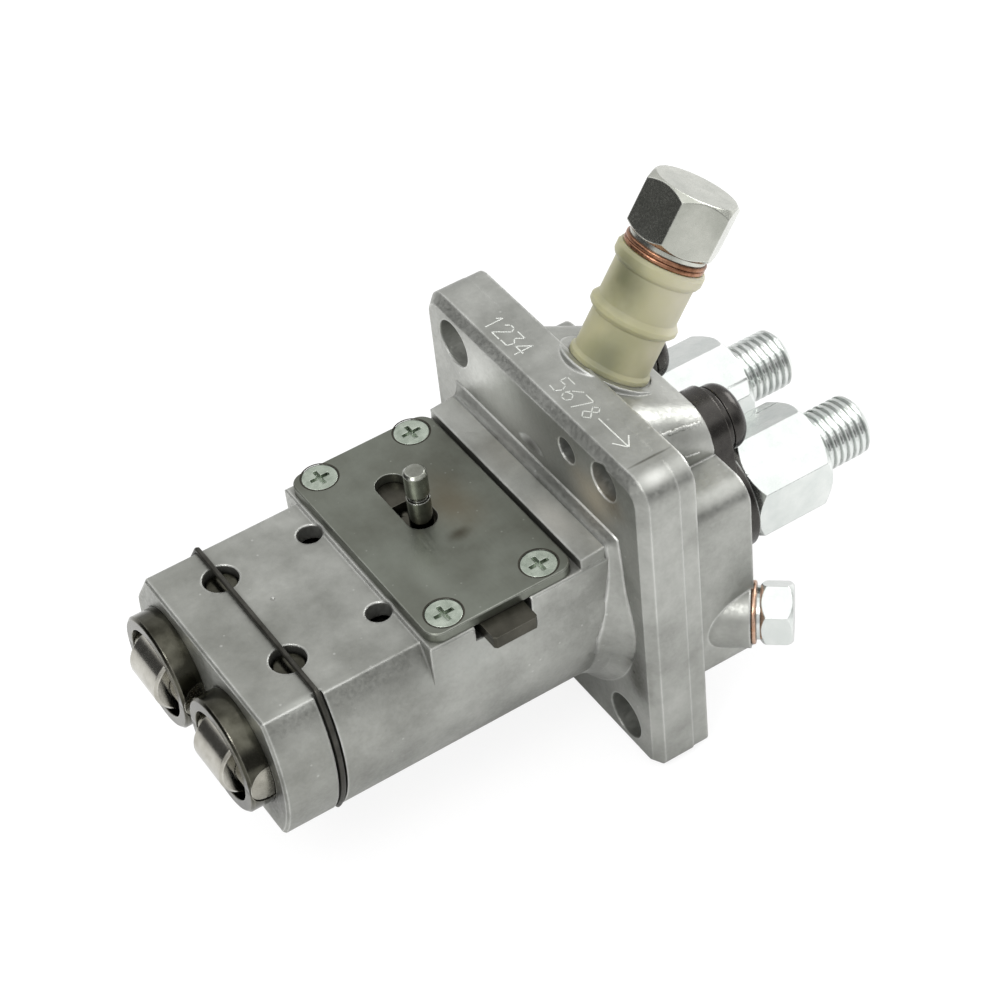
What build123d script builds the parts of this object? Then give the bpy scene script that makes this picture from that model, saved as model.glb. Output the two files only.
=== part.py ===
from build123d import *
from math import asin, cos, pi, radians, sin
import os

# A two-element diesel injection pump at real size, in millimetres.
# X runs along the plungers, from the roller tappets towards the pipe outlets.
# Z is square to the cover plate, and Y runs across the two elements.
# The origin is the centre of the flange face that meets the engine.

os.makedirs("parts", exist_ok=True)

# Clearances, gaps and edge breaks
tappet_clear = 0.04
sleeve_clear = 0.05
plunger_clear = 0.02
roller_clear = 0.03
rack_clear = 0.05
stack_gap = 0.05
edge_break = 0.5
cut_past = 1.0

# Spacing of the two elements, and the travel of a tappet
element_pitch = 24.0
tappet_stroke = 8.0

# Round spigot that fits the crankcase bore, with a flat above and below and one bevel
spigot_length = 69.4
spigot_r = 26.5
flat_top_z = 14.15
flat_bottom_z = -14.7
bevel_y = 20.2
bevel_slope = 55.7

# Pad under the cover plate, and the shoulder between pad and flange
pad_length = 38.2
pad_near_y = -25.8
pad_far_y = 24.5
pad_top_z = 14.7
shoulder_length = 7.0
shoulder_rise = 2.1
ridge_x = -1.5
ridge_rise = 2.6
shoulder_inset = 0.4
collar_length = 5.5
collar_flare = 4.2

# Mounting flange
flange_half_y = 34.9
flange_half_z = 35.7
flange_ledge_x = 8.0
flange_t = 11.4
flange_step = 0.25
flange_top_corner_r = 5.0
flange_low_corner_r = 3.0
flange_chamfer = 1.75
mount_hole_side_inset = 9.9
mount_hole_end_inset = 7.3
mount_hole_r = 4.75
drilled_y = -12.1
drilled_inset = 6.6
drilled_r = 2.6
drilled_depth = 9.0
blind_y = -23.6
blind_inset = 5.4
blind_r = 3.8
blind_depth = 5.0

# Head casting behind the flange, with its lobes for the clamp bolts
head_length = 14.6
head_half_y = 30.0
head_top_z = 18.7
head_bottom_z = -24.7
head_corner_r = 4.5
lobe_r = 7.4
clamp_pitch = 37.4
rib_top_z = 34.2
rib_low_z = -31.0

# Tappets with their rollers
tappet_r = 11.0
tappet_stand_out = 4.6
tappet_length = 28.4
nose_depth = 11.5
nose_wall = 2.4
cup_depth = 4.4
cup_wall = 1.1
roller_inset = 3.9
roller_r = 6.6
roller_width = 10.0
roller_pin_r = 3.8
roller_pin_clear = 0.05
roller_pin_sink = 0.2
bore_end_x = -27.0

# Guide pins and the wire that holds them
guide_inset = 11.1
guide_r = 3.25
guide_clear = 0.12
guide_tip_r = 2.4
guide_tip_z = 9.7
guide_step_z = 11.35
guide_sink = 0.25
guide_drop = 1.5
guide_slot_clear = 0.05
hole_break = 0.35
peg_hole_x = -40.2
peg_hole_r = 2.4
wire_r = 0.55
wire_side_r = 26.35
wire_bend_r = 1.2

# Spring seats, shim and plunger spring
shim_r = 5.0
shim_t = 1.5
seat_t = 1.6
seat_clear = 0.3
spring_wire_r = 0.75
spring_mean_r = 8.85
spring_turns = 4.0

# Plunger with its foot and vanes
plunger_r = 3.0
plunger_below_port = 1.5
foot_r = 4.2
foot_t = 2.0
vane_length = 3.6
vane_half = 7.2
vane_t = 3.0
groove_depth = 0.9
edge_slope = 42.0
metering_length = 9.0
upper_land = 3.2

# Barrel, and the control sleeve that turns on its tail
barrel_r = 8.0
barrel_tail_r = 6.5
barrel_tail_length = 15.0
barrel_step_x = -2.0
port_inset = 15.5
port_r = 1.5
gallery_r = 2.6
gallery_clear = 1.6
sleeve_wall = 0.85
sleeve_short = 3.0
sleeve_bore_clear = 0.5
lever_reach = 13.2
lever_ball_r = 1.4
lever_t = 2.4
lever_length = 3.1
lever_lean = 23.75

# Control rack and its pin
rack_mid_x = -23.45
rack_width = 8.9
rack_z0 = 12.1
rack_t = 2.5
rack_end_y0 = -30.0
rack_end_y1 = 22.0
ball_slot_clear = 0.2
ball_slot_length = 3.9
rack_pin_x = -23.3
rack_pin_y = 0.86
rack_pin_r = 2.2
rack_pin_height = 13.7
pin_groove_depth = 0.6
pin_groove_width = 1.2
pin_collar = 5.0
mouth_from_y = 21.5
mouth_clear = 1.3

# Cover plate
plate_x0 = -37.4
plate_x1 = -7.9
plate_half_y = 25.3
plate_far_trim = 1.0
plate_t = 2.0
plate_corner_r = 3.0
slot_y = 6.2
slot_half = 5.2
slot_r = 2.95
plate_screw_pitch_x = 19.48
plate_screw_y = 21.2
screw_head_r = 3.4
screw_shank_r = 1.72
screw_length = 8.7

# Clamp flange of each barrel, with two bolts
clamp_t = 3.9
ear_r = 7.3
clamp_collar_r = 11.2
clamp_collar_h = 7.2
clamp_bolt_r = 2.95
clamp_hole_r = 3.2
clamp_head_r = 6.4
clamp_head_h = 3.6
clamp_bolt_depth = 12.0
lock_washer_r = 6.4
lock_washer_t = 1.5

# Delivery valve, its seat, gasket and spring
valve_seat_r = 6.5
valve_seat_t = 5.0
seat_above_face = 1.0
valve_stem_r = 2.55
valve_way_r = 2.6
valve_collar_r = 3.9
pip_length = 3.6
flute_length = 2.6
gasket_t = 1.2
gasket_r = 7.5
gasket_in_r = 5.2
valve_spring_r = 3.25
valve_spring_wire_r = 0.5
valve_spring_turns = 7.0

# Delivery holder
holder_spigot_r = 7.55
holder_hex_above = 7.8
holder_hex_h = 17.1
holder_thread_h = 12.0
holder_af = 19.0
holder_turn = 5.0
holder_chamber_r = 4.6
holder_chamber_top = 5.0
holder_way_r = 1.1
outlet_thread_r = 6.0
outlet_cone_r = 3.2
outlet_cone_h = 3.4

# Inlet on its slanting boss
inlet_tilt = 35.0
inlet_x = 17.3
inlet_z = 31.2
inlet_boss_r = 9.6
inlet_spot_r = 8.2
nylon_length = 22.4
nylon_r = 7.75
nylon_low_r = 7.25
nylon_high_r = 7.55
nylon_bead_r = 8.4
nylon_bore_r = 4.9
inlet_shank_r = 4.8
inlet_way_r = 2.6
copper_r = 7.75
copper_t = 0.9
inlet_collar_r = 7.35
inlet_collar_t = 1.4
inlet_af = 16.0
inlet_hex_h = 10.8
inlet_hex_turn = 36.0
inlet_shank_depth = 8.0

# Bleed screw on the corner of the head
bleed_turn = 39.0
bleed_z = -13.2
bleed_boss_r = 6.6
bleed_spot_r = 6.3
bleed_ring_r = 5.9
bleed_ring_t = 0.9
bleed_shank_r = 2.55
bleed_depth = 9.0
bleed_collar_r = 5.0
bleed_collar_t = 1.0
bleed_af = 10.8
bleed_hex_h = 6.0
bleed_hex_turn = 53.7

# Stations worked out from the sizes above
spigot_front_x = -spigot_length
pad_front_x = -pad_length
element_y = element_pitch / 2
element_ys = [element_y, -element_y]
clamp_z = clamp_pitch / 2
mount_hole_y = flange_half_y - mount_hole_side_inset
mount_hole_z = flange_half_z - mount_hole_end_inset
drilled_z = flange_half_z - drilled_inset
blind_z = flange_half_z - blind_inset
head_end_x = flange_t + head_length
tappet_rim_x = spigot_front_x - tappet_stand_out
nose_floor_x = tappet_rim_x + nose_depth
cup_rim_x = tappet_rim_x + tappet_length
cup_floor_x = cup_rim_x - cup_depth
cup_r = tappet_r - cup_wall
nose_r = tappet_r - nose_wall
roller_x = tappet_rim_x + roller_inset
guide_x = spigot_front_x + guide_inset
shim_top_x = cup_floor_x + shim_t
foot_x = shim_top_x + stack_gap
seat_x = foot_x + foot_t + stack_gap
spring_x0 = seat_x + seat_t
spring_x1 = bore_end_x - seat_t
port_x = head_end_x - port_inset
plunger_top_x = port_x - plunger_below_port
barrel_tail_x = barrel_step_x - barrel_tail_length
sleeve_in_r = barrel_tail_r + sleeve_clear
sleeve_out_r = sleeve_in_r + sleeve_wall
sleeve_bore_r = sleeve_out_r + sleeve_bore_clear
sleeve_x0 = spring_x0 + tappet_stroke + 0.4
sleeve_x1 = barrel_step_x - sleeve_short
vane_x0 = sleeve_x0 + 2.0
rack_x0 = rack_mid_x - rack_width / 2
rack_x1 = rack_mid_x + rack_width / 2
rack_z1 = rack_z0 + rack_t
ball_offset = -lever_reach * sin(radians(lever_lean))
plate_top_z = pad_top_z + plate_t
plate_mid_x = (plate_x0 + plate_x1) / 2
slot_x = rack_pin_x + 0.1
valve_seat_top_x = head_end_x + seat_above_face
valve_chamber_x = valve_seat_top_x - valve_seat_t
holder_x0 = valve_seat_top_x + gasket_t
holder_hex_x0 = head_end_x + holder_hex_above
holder_hex_x1 = holder_hex_x0 + holder_hex_h
holder_end_x = holder_hex_x1 + holder_thread_h
chamber_top_x = holder_hex_x1 - holder_chamber_top
valve_collar_x = valve_seat_top_x + 2.4
wire_top_z = flat_top_z + wire_r + 0.05
wire_low_z = flat_bottom_z - wire_r - 0.05
plate_screws = [(plate_mid_x + sx * plate_screw_pitch_x / 2, sy * plate_screw_y)
                for sx in (1, -1) for sy in (1, -1)]


def rod_x(radius, x0, x1, y=0.0, z=0.0):
    """A round bar along X between two stations."""
    return Pos((x0 + x1) / 2, y, z) * Rot(0, 90, 0) * Cylinder(radius, x1 - x0)


def rod_y(radius, y0, y1, x, z):
    """A round bar along Y between two stations."""
    return Pos(x, (y0 + y1) / 2, z) * Rot(90, 0, 0) * Cylinder(radius, y1 - y0)


def rod_z(radius, z0, z1, x=0.0, y=0.0):
    """A round bar along Z between two heights."""
    return Pos(x, y, (z0 + z1) / 2) * Cylinder(radius, z1 - z0)


def block(x0, x1, y0, y1, z0, z1):
    """A box between two corners."""
    middle = Pos((x0 + x1) / 2, (y0 + y1) / 2, (z0 + z1) / 2)
    return middle * Box(x1 - x0, y1 - y0, z1 - z0)


def turned(points):
    """A body turned about the X axis from station and radius pairs."""
    return revolve(make_face(Polyline(*points, close=True)), Axis.X)


def turned_z(points):
    """A body turned about the Z axis from radius and height pairs."""
    return revolve(Plane.XZ * make_face(Polyline(*points, close=True)), Axis.Z)


def hexagon(across_flats, height, chamfer_size):
    """A hexagon bar standing on the XY plane with turned chamfers at both ends."""
    corner = across_flats / 2 / cos(pi / 6) + 0.02
    flat = across_flats / 2 - 0.2
    bar = extrude(RegularPolygon(corner, 6), height)
    cone = turned_z([(0, 0), (flat, 0), (corner, chamfer_size), (corner, height - chamfer_size),
                     (flat, height), (0, height)])
    return bar & cone


def round_outer_rims(ring, radius):
    """Round the two outer rims of a flat ring."""
    rims = ring.edges().filter_by(GeomType.CIRCLE).group_by(SortBy.RADIUS)[-1]
    return fillet(rims, radius)


def coil(mean_r, wire_rad, x0, x1, turns):
    """A coil spring along X that just fits between two stations."""
    pitch = (x1 - x0 - 2 * wire_rad) / turns
    helix = Helix(pitch, pitch * turns, mean_r)
    start = Plane(origin=helix @ 0, z_dir=helix % 0)
    spring = sweep(start * RegularPolygon(wire_rad, 8), path=helix, is_frenet=True)
    return Pos(x0 + wire_rad, 0, 0) * Rot(0, 90, 0) * spring


def save(shape, name):
    """Write one piece to its own file."""
    export_step(shape, "parts/" + name + ".step")


inlet_dir = Vector(sin(radians(inlet_tilt)), 0, cos(radians(inlet_tilt)))
inlet_frame = Location(Plane(origin=(inlet_x, 0, inlet_z), x_dir=(inlet_dir.Z, 0, -inlet_dir.X),
                             z_dir=inlet_dir))
bleed_dir = Vector(cos(radians(bleed_turn)), -sin(radians(bleed_turn)), 0)
bleed_frame = Location(Plane(origin=(head_end_x, -head_half_y, bleed_z), x_dir=(0, 0, 1), z_dir=bleed_dir))


def make_spigot():
    """The round spigot with its two flats and the bevel on the far side."""
    bar = rod_x(spigot_r, spigot_front_x, cut_past)
    bar &= block(spigot_front_x, cut_past, -spigot_r, spigot_r, flat_bottom_z, flat_top_z)
    bevel = Pos(0, bevel_y, flat_top_z) * Rot(-bevel_slope, 0, 0)
    bar -= bevel * block(spigot_front_x - cut_past, cut_past, 0, spigot_r, 0, spigot_r)
    return chamfer(bar.faces().sort_by(Axis.X)[0].edges(), edge_break)


def make_pad():
    """The pad under the cover plate with the stepped shoulder behind it."""
    pad = block(pad_front_x, cut_past, pad_near_y, pad_far_y, 0, pad_top_z)
    pad = chamfer(pad.faces().sort_by(Axis.Z)[-1].edges(), 0.35)
    top = pad_top_z + shoulder_rise
    ridge = pad_top_z + ridge_rise
    profile = Polyline((-shoulder_length, 0), (-shoulder_length, top), (ridge_x - edge_break, ridge),
                       (cut_past, ridge), (cut_past, 0), close=True)
    half = (pad_far_y - pad_near_y) / 2 - shoulder_inset
    shoulder = extrude(Plane.XZ * make_face(profile), half, both=True)
    return pad + Pos(0, (pad_far_y + pad_near_y) / 2, 0) * shoulder


def make_collar():
    """The flare where the round spigot meets the flange below the shoulder."""
    ring = turned([(-collar_length, 20), (-collar_length, spigot_r), (-collar_length / 2, spigot_r + 1.2),
                   (0.2, spigot_r + collar_flare), (0.2, 20)])
    reach = spigot_r + collar_flare + cut_past
    return ring & block(-collar_length, cut_past, -reach, reach, -reach, -5)


def make_flange():
    """The square flange: a full front slab and a rear slab stepped in at the mould's parting line."""
    front = block(0, flange_ledge_x, -flange_half_y, flange_half_y, -flange_half_z, flange_half_z)
    rear_y = flange_half_y - flange_step
    rear = block(flange_ledge_x - cut_past, flange_t, -rear_y, rear_y, -flange_half_z + flange_step,
                 flange_half_z - 0.02)
    slabs = []
    for slab, step in ((front, 0.0), (rear, flange_step)):
        corners = slab.edges().filter_by(Axis.X)
        slab = fillet(corners.filter_by(lambda e: (e @ 0.5).Z > 0), flange_top_corner_r - step)
        corners = slab.edges().filter_by(Axis.X).filter_by(lambda e: (e @ 0.5).Z < step - flange_half_z + 1)
        slabs.append(fillet(corners, flange_low_corner_r - step))
    front, rear = slabs
    front_edges = front.faces().sort_by(Axis.X)[0].edges()
    top_edges = front_edges.filter_by(lambda e: (e @ 0.5).Z > flange_half_z - flange_top_corner_r)
    return chamfer(top_edges, flange_chamfer) + rear


def make_rib(top_z, end_z, side):
    """One tapering rib of the head that carries two clamp bolts, above or below."""
    start = flange_t - cut_past
    profile = Polyline((start, 0), (start, top_z), (head_end_x, end_z), (head_end_x, 0), close=True)
    rib = extrude(Plane.XZ * make_face(profile), element_y + lobe_r, both=True)
    long_edges = rib.edges().filter_by(lambda e: abs((e @ 0).X - (e @ 1).X) > head_length / 2)
    outer = long_edges.filter_by(lambda e: side * (e @ 0.5).Z > lobe_r)
    return fillet(outer, lobe_r - 0.3)


def make_head():
    """The head block with its ribs and the bosses for the inlet and the bleed screw."""
    head = block(flange_t - cut_past, head_end_x, -head_half_y, head_half_y, head_bottom_z, head_top_z)
    head = fillet(head.edges().filter_by(Axis.X), head_corner_r)
    head += make_rib(rib_top_z, clamp_z + lobe_r, 1)
    head += make_rib(rib_low_z, -clamp_z - lobe_r, -1)
    head += inlet_frame * rod_z(inlet_boss_r, -18.0, 0)
    head += bleed_frame * rod_z(bleed_boss_r, -16.0, -bleed_ring_t / 2)
    return head


def bore_elements(body):
    """Cut the stepped bores, the lever windows and the side holes of both elements."""
    for y in element_ys:
        body -= rod_x(tappet_r + tappet_clear, spigot_front_x - cut_past, bore_end_x, y)
        body -= rod_x(sleeve_bore_r, bore_end_x - cut_past, barrel_step_x, y)
        body -= rod_x(barrel_r + plunger_clear, barrel_step_x - cut_past, head_end_x + cut_past, y)
        body -= rod_x(barrel_r + gallery_clear, port_x - 3.0, port_x + 3.0, y)
        window = lever_length + 2.8
        body -= block(rack_mid_x - window / 2, rack_mid_x + window / 2, y - 8.2, y + 8.2, 0, rack_z0 + 0.1)
        for hole_x, hole_r in ((guide_x, guide_r + guide_clear), (peg_hole_x, peg_hole_r)):
            body -= rod_z(hole_r, tappet_r - 3, flat_top_z + cut_past, hole_x, y)
            body -= Pos(hole_x, y, flat_top_z) * Cone(hole_r - hole_break, hole_r + hole_break, 2 * hole_break)
        for side in (1, -1):
            depth = clamp_bolt_depth + 2.0
            body -= rod_x(clamp_bolt_r + 0.05, head_end_x - depth, head_end_x + cut_past, y, side * clamp_z)
    return body


def cut_rack_channel(body):
    """Cut the control rack's channel, wider where it leaves the pad on each side."""
    low_z = rack_z0 - rack_clear
    reach = spigot_r + cut_past
    body -= block(rack_x0 - rack_clear, rack_x1 + rack_clear, -reach, reach, low_z, pad_top_z + cut_past)
    for y0, y1 in ((mouth_from_y, reach), (-reach, -mouth_from_y)):
        body -= block(rack_x0 - mouth_clear, rack_x1 + mouth_clear, y0, y1, low_z - 0.55, pad_top_z + cut_past)
    return body


def make_body():
    """The pump body: spigot, pad, flange and head in one casting."""
    body = make_spigot() + make_pad() + make_collar() + make_flange() + make_head()
    body = cut_rack_channel(bore_elements(body))
    groove_x0 = guide_x - wire_r - 0.35
    groove_x1 = guide_x + wire_r + 0.35
    groove_r = wire_side_r - wire_r - 0.3
    body -= turned([(groove_x0, groove_r), (groove_x0, spigot_r + 2), (groove_x1, spigot_r + 2),
                    (groove_x1, groove_r)])
    for y, z in ((mount_hole_y, mount_hole_z), (mount_hole_y, -mount_hole_z), (-mount_hole_y, -mount_hole_z)):
        body -= rod_x(mount_hole_r, -cut_past, flange_t + 0.01, y, z)
    body -= rod_x(drilled_r, -cut_past, drilled_depth, drilled_y, drilled_z)
    body -= rod_x(blind_r, -cut_past, blind_depth, blind_y, blind_z)
    for x, y in plate_screws:
        body -= rod_z(screw_shank_r + 0.03, plate_top_z - screw_length - 1.0, pad_top_z + cut_past, x, y)
    body -= rod_y(gallery_r, -element_y, element_y, port_x, 9.0)
    body -= inlet_frame * rod_z(nylon_bore_r + 0.1, -25.0, cut_past)
    body -= inlet_frame * rod_z(inlet_spot_r, 0, 6.0)
    body -= bleed_frame * rod_z(bleed_shank_r + 0.05, -15.0, cut_past)
    body -= bleed_frame * rod_z(bleed_spot_r, -bleed_ring_t / 2, 6.0)
    body -= rod_y(1.6, -24.0, -element_y, 17.0, bleed_z)
    return body


def make_cover_plate():
    """The cover plate with its slot for the rack pin and four countersunk holes."""
    plate = block(plate_x0, plate_x1, -plate_half_y, plate_half_y - plate_far_trim, pad_top_z, plate_top_z)
    plate = fillet(plate.edges().filter_by(Axis.Z), plate_corner_r)
    plate = chamfer(plate.faces().sort_by(Axis.Z)[-1].edges(), 0.2)
    slot = SlotOverall(2 * (slot_half + slot_r), 2 * slot_r, rotation=90)
    plate -= Pos(slot_x, slot_y, pad_top_z - cut_past) * extrude(slot, plate_t + 2 * cut_past)
    for x, y in plate_screws:
        plate -= Pos(x, y, plate_top_z - 0.8) * Cone(screw_head_r - 1.5, screw_head_r + 0.1, 1.6)
        plate -= rod_z(screw_shank_r + 0.23, pad_top_z - cut_past, plate_top_z, x, y)
    return plate


def make_cover_screw():
    """A countersunk screw with a cross recess, its head's top at height zero."""
    screw = Pos(0, 0, -0.83) * Cone(screw_head_r - 1.53, screw_head_r - 0.04, 1.5)
    screw += rod_z(screw_shank_r, -screw_length, -1.0)
    screw -= block(-1.9, 1.9, -0.4, 0.4, -1.1, 1)
    screw -= block(-0.4, 0.4, -1.9, 1.9, -1.1, 1)
    return screw


def make_rack():
    """The control rack with one slot for each lever ball and a hole for its pin."""
    rack = block(rack_x0, rack_x1, rack_end_y0, rack_end_y1, rack_z0, rack_z1)
    rack = chamfer(rack.edges().filter_by(Axis.Z), edge_break)
    slot_half_y = lever_ball_r + ball_slot_clear
    slot_x0 = rack_mid_x - ball_slot_length / 2
    slot_x1 = rack_mid_x + ball_slot_length / 2
    for y in element_ys:
        slot_y0 = y + ball_offset - slot_half_y
        rack -= block(slot_x0, slot_x1, slot_y0, slot_y0 + 2 * slot_half_y, rack_z0 - 1, rack_z1 + 1)
    return rack - rod_z(rack_pin_r - pin_groove_depth, rack_z0 - 1, rack_z1 + 1, rack_pin_x, rack_pin_y)


def make_rack_pin():
    """The pin that the governor pulls: a riveted foot, a shank and a groove below its collar."""
    top = rack_z1 + rack_pin_height
    groove_z = top - pin_collar - pin_groove_width
    pin = rod_z(rack_pin_r, rack_z1, top)
    pin = chamfer(pin.faces().sort_by(Axis.Z)[-1].edges(), edge_break)
    pin -= rod_z(rack_pin_r + 1, groove_z, groove_z + pin_groove_width)
    neck_r = rack_pin_r - pin_groove_depth
    pin += rod_z(neck_r, groove_z, groove_z + pin_groove_width)
    pin += rod_z(neck_r - plunger_clear, rack_z0 + 0.2, rack_z1 + 0.1)
    return Pos(rack_pin_x, rack_pin_y, 0) * pin


def make_wire():
    """The retaining wire: a closed loop over the top flat, round both sides and under the body."""
    band = Pos(0, (wire_top_z + wire_low_z) / 2) * Rectangle(3 * wire_side_r, wire_top_z - wire_low_z)
    loop = Circle(wire_side_r) & band
    loop = fillet(loop.vertices(), wire_bend_r)
    path = (Plane.YZ.offset(guide_x) * loop).faces()[0].outer_wire()
    start = Plane(origin=path @ 0, z_dir=path % 0)
    return sweep(start * Circle(wire_r), path=path)


def make_tappet():
    """The roller tappet: a hollow nose for the roller and a cup for the lower spring seat."""
    tappet = rod_x(tappet_r, tappet_rim_x, cup_rim_x)
    tappet = chamfer(tappet.edges().filter_by(GeomType.CIRCLE), edge_break)
    tappet -= rod_x(nose_r, tappet_rim_x - 1, nose_floor_x)
    tappet -= rod_x(cup_r, cup_floor_x, cup_rim_x + 1)
    tappet -= rod_y(roller_pin_r, -tappet_r - 1, tappet_r + 1, roller_x, 0)
    slot_half_y = guide_tip_r + guide_slot_clear
    tappet -= block(guide_x - guide_tip_r - tappet_stroke - 0.5, guide_x + guide_tip_r + 0.3,
                    -slot_half_y, slot_half_y, guide_tip_z - guide_sink, tappet_r + 1)
    return tappet - rod_x(1.2, nose_floor_x - 1, cup_floor_x + 1, 0, 6.0)


def make_roller():
    """The roller that runs on the cam."""
    roller = rod_y(roller_r, -roller_width / 2, roller_width / 2, roller_x, 0)
    roller = chamfer(roller.edges(), edge_break)
    return roller - rod_y(roller_pin_r + roller_clear, -roller_width, roller_width, roller_x, 0)


def make_roller_pin():
    """The roller's pin, trimmed to the round of the tappet."""
    pin = rod_y(roller_pin_r - roller_pin_clear, -tappet_r, tappet_r, roller_x, 0)
    return pin & rod_x(tappet_r - roller_pin_sink, tappet_rim_x, nose_floor_x)


def make_lower_seat():
    """The lower spring seat: a ring over the plunger's foot, standing in the tappet's cup."""
    seat_r = cup_r - seat_clear
    seat = rod_x(seat_r, seat_x, spring_x0) - rod_x(plunger_r + 0.35, seat_x - 1, spring_x0 + 1)
    return seat + rod_x(seat_r, cup_floor_x, seat_x) - rod_x(shim_r + 0.4, cup_floor_x - 1, seat_x)


def make_upper_seat():
    """The upper spring seat, against the end of the tappet's bore."""
    ring = rod_x(tappet_r - seat_clear, spring_x1, bore_end_x)
    return ring - rod_x(sleeve_out_r + 0.35, spring_x1 - 1, bore_end_x + 1)


def make_control_sleeve():
    """The control sleeve: slotted for the plunger's vanes, with a ball-ended lever."""
    sleeve = rod_x(sleeve_out_r, sleeve_x0, sleeve_x1) - rod_x(sleeve_in_r, sleeve_x0 - 1, sleeve_x1 + 1)
    slot_half_z = vane_t / 2 + sleeve_clear
    slot_end_x = vane_x0 + vane_length + tappet_stroke + 0.6
    sleeve -= block(sleeve_x0 - 1, slot_end_x, -sleeve_out_r - 1, sleeve_out_r + 1, -slot_half_z, slot_half_z)
    half = lever_length / 2
    lever = block(rack_mid_x - half, rack_mid_x + half, -lever_t / 2, lever_t / 2, sleeve_in_r + 0.3,
                  lever_reach)
    lever += Pos(rack_mid_x, 0, lever_reach) * Sphere(lever_ball_r)
    return Rot(lever_lean, 0, 0) * (sleeve + lever)


def make_plunger():
    """The plunger: foot, vanes, and a slanting control edge joined to the top by a groove."""
    plunger = rod_x(plunger_r, foot_x, plunger_top_x)
    plunger += rod_x(foot_r, foot_x, foot_x + foot_t)
    plunger += block(vane_x0, vane_x0 + vane_length, -vane_half, vane_half, -vane_t / 2, vane_t / 2)
    core_r = plunger_r - groove_depth
    waist = rod_x(plunger_r + 1, plunger_top_x - metering_length, plunger_top_x - upper_land)
    waist -= rod_x(core_r, plunger_top_x - metering_length - 1, plunger_top_x)
    waist -= Pos(plunger_top_x - 0.6, 0, 0) * Rot(0, 0, edge_slope) * Box(2 * upper_land, 8 * plunger_r, 8 * plunger_r)
    plunger -= waist
    plunger -= block(plunger_top_x - metering_length + 0.4, plunger_top_x + 1, -0.7, 0.7, core_r, 5)
    return Rot(lever_lean, 0, 0) * plunger


def make_clamp_flange():
    """The clamp flange: two bolt ears joined to the collar by tangent sides."""
    lean = asin((clamp_collar_r - ear_r) / clamp_z)
    ear_y = ear_r * cos(lean)
    ear_z = clamp_z + ear_r * sin(lean)
    collar_y = clamp_collar_r * cos(lean)
    collar_z = clamp_collar_r * sin(lean)
    sides = Polyline((ear_y, ear_z), (collar_y, collar_z), (collar_y, -collar_z), (ear_y, -ear_z),
                     (-ear_y, -ear_z), (-collar_y, -collar_z), (-collar_y, collar_z), (-ear_y, ear_z),
                     close=True)
    outline = make_face(sides)
    for side in (1, -1):
        outline += Pos(0, side * clamp_z) * Circle(ear_r)
    for side in (1, -1):
        outline -= Pos(0, side * clamp_z) * Circle(clamp_hole_r)
    return Pos(head_end_x, 0, 0) * extrude(Plane.YZ * outline, clamp_t)


def make_barrel():
    """The barrel with its ports, and its clamp flange on the end face of the head."""
    step_x = barrel_step_x + plunger_clear
    collar_x = head_end_x + clamp_collar_h
    bore_r = plunger_r + plunger_clear
    barrel = rod_x(barrel_tail_r, barrel_tail_x, step_x + 1) + rod_x(barrel_r, step_x, head_end_x + 1)
    barrel += rod_x(clamp_collar_r, head_end_x, collar_x)
    barrel = chamfer(barrel.faces().sort_by(Axis.X)[-1].edges(), edge_break)
    barrel += make_clamp_flange()
    barrel -= rod_x(bore_r, barrel_tail_x - 1, valve_chamber_x + 1)
    barrel -= rod_x(valve_seat_r + 0.02, valve_chamber_x, collar_x)
    barrel -= rod_x(holder_spigot_r + plunger_clear, valve_seat_top_x, collar_x + 1)
    return barrel - rod_z(port_r, -barrel_r - 1, barrel_r + 1, port_x, 0)


def make_valve_seat():
    """The seat of the delivery valve, with a cone at its top."""
    cone_x = valve_seat_top_x - 0.8
    return turned([(valve_chamber_x, valve_way_r), (valve_chamber_x, valve_seat_r),
                   (valve_seat_top_x, valve_seat_r), (valve_seat_top_x, valve_way_r + 0.8),
                   (cone_x, valve_way_r)])


def make_gasket():
    """The ring that seals the holder on the valve seat."""
    ring = rod_x(gasket_r, valve_seat_top_x, holder_x0)
    return ring - rod_x(gasket_in_r, valve_seat_top_x - 1, holder_x0 + 1)


def make_delivery_valve():
    """The delivery valve: a fluted stem, a cone and a pip that centres its spring."""
    bottom_x = valve_chamber_x + 0.4
    cone_x = valve_seat_top_x - 0.8
    pip_r = valve_spring_r - valve_spring_wire_r - 0.25
    pip_end_x = valve_collar_x + pip_length
    valve = turned([(bottom_x, 0), (bottom_x, valve_stem_r - 0.03), (cone_x, valve_stem_r - 0.03),
                    (valve_seat_top_x, valve_way_r + 0.7), (valve_seat_top_x + 0.05, valve_collar_r),
                    (valve_collar_x, valve_collar_r), (valve_collar_x, pip_r), (pip_end_x, pip_r),
                    (pip_end_x, 0)])
    flute = block(bottom_x - 1, bottom_x + flute_length, -0.7, 0.7, valve_stem_r / 2, valve_collar_r)
    for turn in (0, 90, 180, 270):
        valve -= Rot(turn, 0, 0) * flute
    return valve


def make_delivery_holder():
    """The delivery holder: hexagon, pipe thread, spring chamber and the cone seat for the pipe."""
    holder = Pos(holder_hex_x0, 0, 0) * Rot(0, 90, 0) * hexagon(holder_af, holder_hex_h, 1.6)
    holder = Rot(holder_turn, 0, 0) * holder
    holder += rod_x(holder_spigot_r, holder_x0, holder_hex_x0 + 1)
    thread = rod_x(outlet_thread_r, holder_hex_x1 - 1, holder_end_x)
    holder += chamfer(thread.faces().sort_by(Axis.X)[-1].edges(), 0.9)
    holder -= rod_x(holder_chamber_r, holder_x0 - 1, chamber_top_x)
    holder -= rod_x(holder_way_r, chamber_top_x - 1, holder_end_x + 1)
    cone_x = holder_end_x - outlet_cone_h
    return holder - turned([(cone_x, 0), (cone_x, holder_way_r), (holder_end_x + 0.1, outlet_cone_r),
                            (holder_end_x + 0.1, 0)])


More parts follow.
